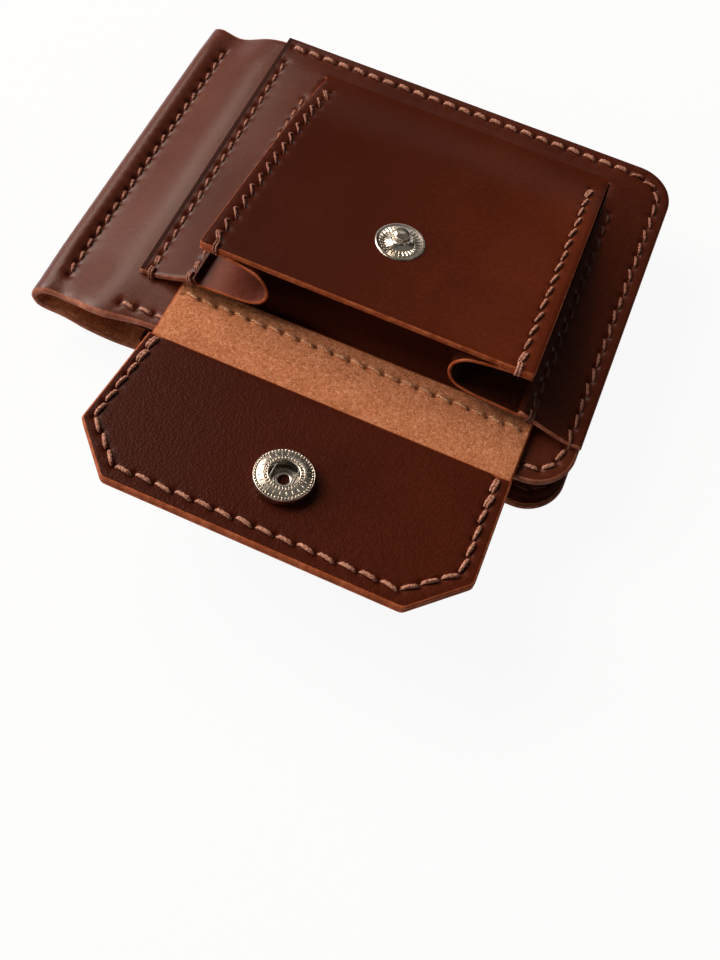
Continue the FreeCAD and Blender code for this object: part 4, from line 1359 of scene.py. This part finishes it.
# %% [markdown]
# Turned parts are made standing on z, joined into one piece, and then put in their place.  Their
# crisp edges stay crisp and everything rounder is shaded smooth.

# %% Metal pieces
CRISP = math.radians(50)


def metal_piece(name, parts, place, material, body):
    """Joined parts put in place, with crisp edges kept crisp."""
    points, faces = join(parts)
    made = new_piece(name, place(points), faces, [material], flat=points)
    work = bmesh.new()
    work.from_mesh(made.data)
    bmesh.ops.recalc_face_normals(work, faces=work.faces)
    work.to_mesh(made.data)
    work.free()
    made.data.set_sharp_from_angle(angle=CRISP)
    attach(made, body)
    return made


def set_on(x, y, z, tilt):
    """Puts points made round the z axis at (x, y, z), their axis leaning to the far edge by tilt."""
    c, s = math.cos(tilt), math.sin(tilt)

    def place(points):
        points = np.asarray(points, float)
        return np.stack([x + points[:, 0], y + points[:, 1] * c + points[:, 2] * s,
                         z - points[:, 1] * s + points[:, 2] * c], 1)
    return place


# %% [markdown]
# ## Snap
# The socket on the lining is a ring with a beaded rim, a bright rolled mouth and a wire
# spring inside; its domed cap sits on the flap's outer face.

# %% Socket and cap
SNAP_X, SNAP_OUT = 69.8, FLAP_LENGTH - 14.5


def flap_spot(height):
    """Place on the snap's axis, a height above the open flap's middle."""
    return set_on(SNAP_X, -BEND_OUT - SNAP_OUT * math.cos(RISE) + height * math.sin(RISE),
                  FLAP_TOP - FLAP_T / 2 + SNAP_OUT * math.sin(RISE) + height * math.cos(RISE), RISE)


ON_LINING = flap_spot(FLAP_T / 2 + LINING_T)
UNDER_FLAP = flap_spot(-FLAP_T / 2)
socket_profile = [(1.62, 0.02), (5.25, 0.02), (5.75, 0.4), (5.8, 1.6), (5.68, 1.98), (5.55, 1.98),
                  (5.48, 1.86), (5.12, 1.92), (5.05, 2.12), (3.72, 2.36), (3.64, 2.24), (3.22, 2.3),
                  (3.12, 2.5), (2.92, 2.46), (2.86, 2.3), (3.5, 2.24), (3.5, 0.36), (1.62, 0.36),
                  (1.62, 0.02)]
beads = [ball([r * math.cos(a), r * math.sin(a), z], size) for r, z, size, count in
         ((5.3, 2.06, 0.24, 52), (3.43, 2.4, 0.19, 36)) for a in np.linspace(0, 2 * math.pi, count, False)]
ticks = [ridge(3.95, 4.85, 2.12, a, 0.12, 0.3) for a in np.linspace(0, 2 * math.pi, 24, False)]
ring = lathe(eased(socket_profile, 0.06)[:-1], closed=True)
socket = metal_piece("snap_socket_nickel", [ring] + beads + ticks, ON_LINING, nickel, "flap")
stands_for(socket, "snap_metal", "snap_socket")

cap_profile = [(1.1, 1.2), (1.1, 2.48), (1.35, 2.58), (1.9, 2.58), (2.2, 2.4), (2.2, 2.22), (1.5, 2.2),
               (1.5, 0.0), (5.95, 0.0), (6.25, -0.35), (6.1, -0.8), (5.4, -1.25), (4.2, -1.58),
               (2.6, -1.76), (1.2, -1.8), (0, -1.8), (0, 1.2), (1.1, 1.2)]
cap = metal_piece("snap_cap_nickel", [lathe(eased(cap_profile, 0.1)[:-1])], UNDER_FLAP, nickel, "flap")
stands_for(cap, "snap_metal", "snap_cap")

ring_r, half_gap = 3.2, 2.2
reach_in = math.sqrt(ring_r ** 2 - half_gap ** 2)
bow = math.asin(half_gap / ring_r)
spring_path = ([(-half_gap, y) for y in np.linspace(-reach_in, reach_in, 12)]
               + [(ring_r * math.sin(a), ring_r * math.cos(a)) for a in np.linspace(-bow, bow, 16)][1:-1]
               + [(half_gap, y) for y in np.linspace(reach_in, -reach_in, 12)])
wire = strand([(x, y, 1.98) for x, y in spring_path], 0.25, lobe=0, section=10)
socket_spring = metal_piece("socket_spring_wire", [wire], ON_LINING, spring_steel, "flap")
stands_for(socket_spring, "spring_steel", "socket_spring")

# %% [markdown]
# The stud on the pocket's front has a flange with radial ribs, which rises as a cone to a small
# round head.  A rivet from the front's underside holds it.

# %% Stud and its rivet
STUD_OUT = 43.04


def front_spot(height):
    """Place on the snap's axis, a height above the front's middle."""
    return set_on(SNAP_X, SLIT_FAR - STUD_OUT * math.cos(OPEN) + height * math.sin(OPEN),
                  HINGE_Z + STUD_OUT * math.sin(OPEN) + height * math.cos(OPEN), OPEN)


stud_profile = [(0.85, 0.0), (5.1, 0.0), (5.25, 0.25), (5.15, 0.5), (4.9, 0.6), (4.5, 0.5), (3.6, 0.42),
                (3.3, 0.42), (2.6, 0.7), (2.0, 1.15), (1.72, 1.6), (1.7, 1.9), (1.82, 2.2), (1.88, 2.5),
                (1.72, 2.85), (1.25, 3.1), (0.6, 3.19), (0, 3.2)]
ribs = [ridge(2.9, 4.3, 0.4, a, 0.2, 0.27) for a in np.linspace(0, 2 * math.pi, 30, False)]
turned = lathe([(0, 1.0), (0.85, 1.0)] + eased(stud_profile))
stud = metal_piece("snap_stud_nickel", [turned] + ribs, front_spot(POCKET_T / 2), nickel, "coin_front")
stands_for(stud, "snap_metal", "snap_stud")
rivet_profile = [(0, -0.6), (2.4, -0.58), (3.9, -0.4), (4.55, -0.18), (4.6, 0.0), (1.4, 0.0), (1.4, 1.3),
                 (0.8, 1.35), (0.8, 2.3), (0, 2.3)]
rivet = metal_piece("stud_rivet_nickel", [lathe(eased(rivet_profile, 0.08))], front_spot(-POCKET_T / 2),
                    nickel, "coin_front")
stands_for(rivet, "snap_metal", "stud_rivet")

# %% [markdown]
# ## Money clip
# A sprung wire frame turns on a rod, and the rod sits in a strip of leather sewn under the spine
# row.  Real springs are wound wire, so they are swept along a helix.

# %% Clip
ROD_X, ROD_Z, ROD_R = 12.0, 7.6, 0.9
NEAR_KNUCKLE, FAR_KNUCKLE = 11.5, 73.5
CLIP_END, CLIP_CORNER, WIRE_R = 50.0, 5.0, 0.9
COIL_R, COIL_WIRE, COIL_IN, COIL_LONG = 1.3, 0.26, 12.6, 1.8


def along_rod(points):
    """Turned parts stand on z; the rod lies along y."""
    points = np.asarray(points, float)
    return np.stack([ROD_X + points[:, 0], points[:, 2], ROD_Z - points[:, 1]], 1)


def as_made(points):
    """Wire that is swept in its own place already."""
    return points


rod_profile = [(0, 9.5), (1.1, 9.5), (1.4, 9.75), (1.4, 10.3), (ROD_R, 10.3), (ROD_R, 74.7), (1.4, 74.7),
               (1.4, 75.25), (1.1, 75.5), (0, 75.5)]
rod = metal_piece("clip_rod_steel", [lathe(eased(rod_profile, 0.08), count=40)], along_rod, spring_steel,
                  "front")
stands_for(rod, "clip_steel", "clip_rod")
bail_path = ([(ROD_X + 1.3, NEAR_KNUCKLE), (30, NEAR_KNUCKLE)]
             + arc(CLIP_END - CLIP_CORNER, NEAR_KNUCKLE + CLIP_CORNER, CLIP_CORNER, -90, 0, 14)
             + arc(CLIP_END - CLIP_CORNER, FAR_KNUCKLE - CLIP_CORNER, CLIP_CORNER, 0, 90, 14)
             + [(30, FAR_KNUCKLE), (ROD_X + 1.3, FAR_KNUCKLE)])
bail_wire = strand([(x, y, ROD_Z) for x, y in bail_path], WIRE_R, lobe=0, section=20)
knuckle = eased([(1.02, -1.0), (1.5, -1.0), (1.7, -0.8), (1.7, 0.8), (1.5, 1.0), (1.02, 1.0),
                 (1.02, -1.0)], 0.1)[:-1]
ends = []
for y in (NEAR_KNUCKLE, FAR_KNUCKLE):
    points, faces = lathe(knuckle, closed=True, count=40)
    ends.append((along_rod(points + [0, 0, y]), faces))
bail = metal_piece("clip_bail_steel", [bail_wire] + ends, as_made, spring_steel, "clip")
stands_for(bail, "clip_steel", "clip_bail")
for name, start in (("near", COIL_IN), ("far", DEPTH - COIL_IN - COIL_LONG)):
    turns = np.linspace(0, 3 * 2 * math.pi, 90)
    coil = np.stack([ROD_X + COIL_R * np.cos(turns), start + 0.28 + 1.24 * turns / turns[-1],
                     ROD_Z + COIL_R * np.sin(turns)], 1)
    spring = metal_piece(f"clip_spring_{name}_wire", [strand(coil, COIL_WIRE, lobe=0, section=10)],
                         as_made, spring_steel, "front")
    stands_for(spring, "spring_steel", f"clip_spring_{name}")

# %% [markdown]
# The loop is a strip of thin leather that goes over the rod, round it and back, and the spine's
# row of stitches holds both its ends.

# %% Loop
LOOP_T, LOOP_NEAR, LOOP_FAR = 0.76, 14.5, 70.5
loop_line, loop_run = rounded_line([
    (4.6, 9.33), (8, 9.34), (12, 9.34), (13.22, 8.83), (13.73, 7.6), (13.22, 6.38), (12, 5.87),
    (10.85, 6.3), (10.3, 7.05), (9.6, 7.6), (8.4, 7.76), (4.6, 7.77)])


def loop_face(flat):
    """The strip goes over the rod, round it and back."""
    run = flat[:, 0]
    extra = np.minimum(run, 0) - np.maximum(run - loop_run[-1], 0)
    x, z = sampled(run, loop_run, loop_line).T
    return np.stack([x + extra, flat[:, 1], z], 1)


loop_cut = outline([(0, LOOP_NEAR, 0), (loop_run[-1], LOOP_NEAR, 0), (loop_run[-1], LOOP_FAR, 0),
                    (0, LOOP_FAR, 0)])
loop, = sheet(loop_cut, LOOP_T, [("clip_loop_leather", everywhere, loop_face)],
              (cover_leather, flesh_side, edge_finish), grid=0.8, round_by=0.3)
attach(loop, "front")
stands_for(loop, "loop_leather", "clip_loop")

# %% [markdown]
# ## Floor and light
# The wallet lies on a plain white table in front of nothing.  The camera and mirror-like surfaces
# see the table as white, through Light Path, and it still takes a soft shadow.

# %% Table
TABLE_Z = -0.0006                       # the wallet lies on the stitches of its back
TABLE_HALF, WHITE_SHARE = 3, 0.93


def seen_or_mirrored(tree):
    """1 for the camera's own rays and for reflected and refracted ones, else 0; also Light Path."""
    path = add(tree, "ShaderNodeLightPath")
    seen = path.outputs["Is Camera Ray"]
    for ray in ("Is Glossy Ray", "Is Transmission Ray"):
        seen = add(tree, "ShaderNodeMath", {0: seen, 1: path.outputs[ray]}, operation="MAXIMUM").outputs[0]
    return seen, path


table_mesh = bpy.data.meshes.new("table")
corners = [(x * TABLE_HALF, y * TABLE_HALF, TABLE_Z) for x, y in ((-1, -1), (1, -1), (1, 1), (-1, 1))]
table_mesh.from_pydata(corners, [], [(0, 1, 2, 3)])
table = bpy.data.objects.new("table", table_mesh)
bpy.context.scene.collection.objects.link(table)
paper = bpy.data.materials.new("white_table")
tree = empty_tree(paper)
matt = add(tree, "ShaderNodeBsdfDiffuse", {"Color": linear("#F2F0EE")})
glow = add(tree, "ShaderNodeEmission", {"Color": linear("#FFFFFF"), "Strength": 1.0})
seen, _ = seen_or_mirrored(tree)
share = add(tree, "ShaderNodeMath", {0: seen, 1: WHITE_SHARE}, operation="MULTIPLY")
both = add(tree, "ShaderNodeMixShader", {0: share.outputs[0], 1: matt.outputs["BSDF"],
                                         2: glow.outputs["Emission"]})
add(tree, "ShaderNodeOutputMaterial", {"Surface": both.outputs["Shader"]})
table_mesh.materials.append(paper)
print("table", 2 * TABLE_HALF, "m wide")

# %% [markdown]
# One large soft lamp stands far to the left, as a window would, so slopes that face it shine and
# the level leather stays deep.  The others are weaker.  A pane on the far left and a faint one
# beyond the far edge lay a soft gloss on the leather, a low lamp at the near left reaches the cut
# edges and the suede, and a very weak one on the right keeps the shadows open.

# %% Lamps
AIM = Vector(metres((66, 35, 12)))


def lamp(name, toward, distance, size, power, colour):
    """Soft lamp in a direction from the wallet, facing it."""
    made = bpy.data.objects.new(name, bpy.data.lights.new(name, "AREA"))
    made.data.shape = "RECTANGLE"
    made.data.size, made.data.size_y = size
    made.data.energy = power
    made.data.color = linear(colour)[:3]
    direction = Vector(toward).normalized()
    made.location = AIM + direction * distance
    made.rotation_mode = "QUATERNION"
    made.rotation_quaternion = direction.to_track_quat("Z", "Y")
    bpy.context.scene.collection.objects.link(made)
    print(f"{name}: {power} W from {distance} m")


lamp("window_left", (-0.86, 0.10, 0.60), 1.5, (0.8, 0.8), 24, "#FFF6EC")
lamp("pane_far_left", (-0.57, 0.50, 0.66), 1.1, (0.4, 0.4), 4.2, "#FFEFE0")
lamp("pane_far", (-0.15, 0.76, 0.63), 1.5, (0.5, 0.24), 0.35, "#FFF6EC")
lamp("low_near", (-0.72, -0.66, 0.32), 1.2, (0.7, 0.35), 4.6, "#FFF1E4")
lamp("low_right", (0.92, -0.30, 0.26), 1.3, (0.5, 0.3), 0.25, "#FFF1E4")

# %% [markdown]
# The room is dim overhead and paler towards its walls, which is what polished metal shows.  To
# mirror-like surfaces it also grows darker to the right and beyond the far edge, so that metal
# and waxed leather have a bright and a dark side.  Light that the leather scatters comes mostly
# from the lamps, so the room adds little to it.

# %% Room
SCATTERED, MIRRORED = 0.22, 0.8         # the room's strength for the two kinds of light

room = bpy.data.worlds.new("room")
bpy.context.scene.world = room
tree = empty_tree(room)
place = add(tree, "ShaderNodeTexCoord")
way = add(tree, "ShaderNodeSeparateXYZ", {"Vector": place.outputs["Generated"]})
mirror, path = seen_or_mirrored(tree)
to_right = add(tree, "ShaderNodeMapRange", {"Value": way.outputs["X"], "To Max": 0.5})
to_far = add(tree, "ShaderNodeMapRange", {"Value": way.outputs["Y"], "From Min": 0.2, "To Max": 0.3})
dim = add(tree, "ShaderNodeMath", {0: to_right.outputs["Result"], 1: to_far.outputs["Result"]},
          operation="ADD")
height = add(tree, "ShaderNodeMath", {0: dim.outputs[0], 1: path.outputs["Is Glossy Ray"],
                                      2: way.outputs["Z"]}, operation="MULTIPLY_ADD")
wall = tone(tree, height.outputs[0], [(0.0, "#FFFCF8"), (0.34, "#DAD5CF"), (0.6, "#33312F"),
                                      (0.85, "#191817"), (1.0, "#77736D")])
strength = add(tree, "ShaderNodeMapRange", {"Value": mirror, "To Min": SCATTERED, "To Max": MIRRORED})
sky = add(tree, "ShaderNodeBackground", {"Color": wall, "Strength": strength.outputs["Result"]})
add(tree, "ShaderNodeOutputWorld", {"Surface": sky.outputs["Background"]})
bpy.context.scene.view_settings.view_transform = "Standard"
print("pieces made:", mesh_count() - CAD_MESHES - 1)
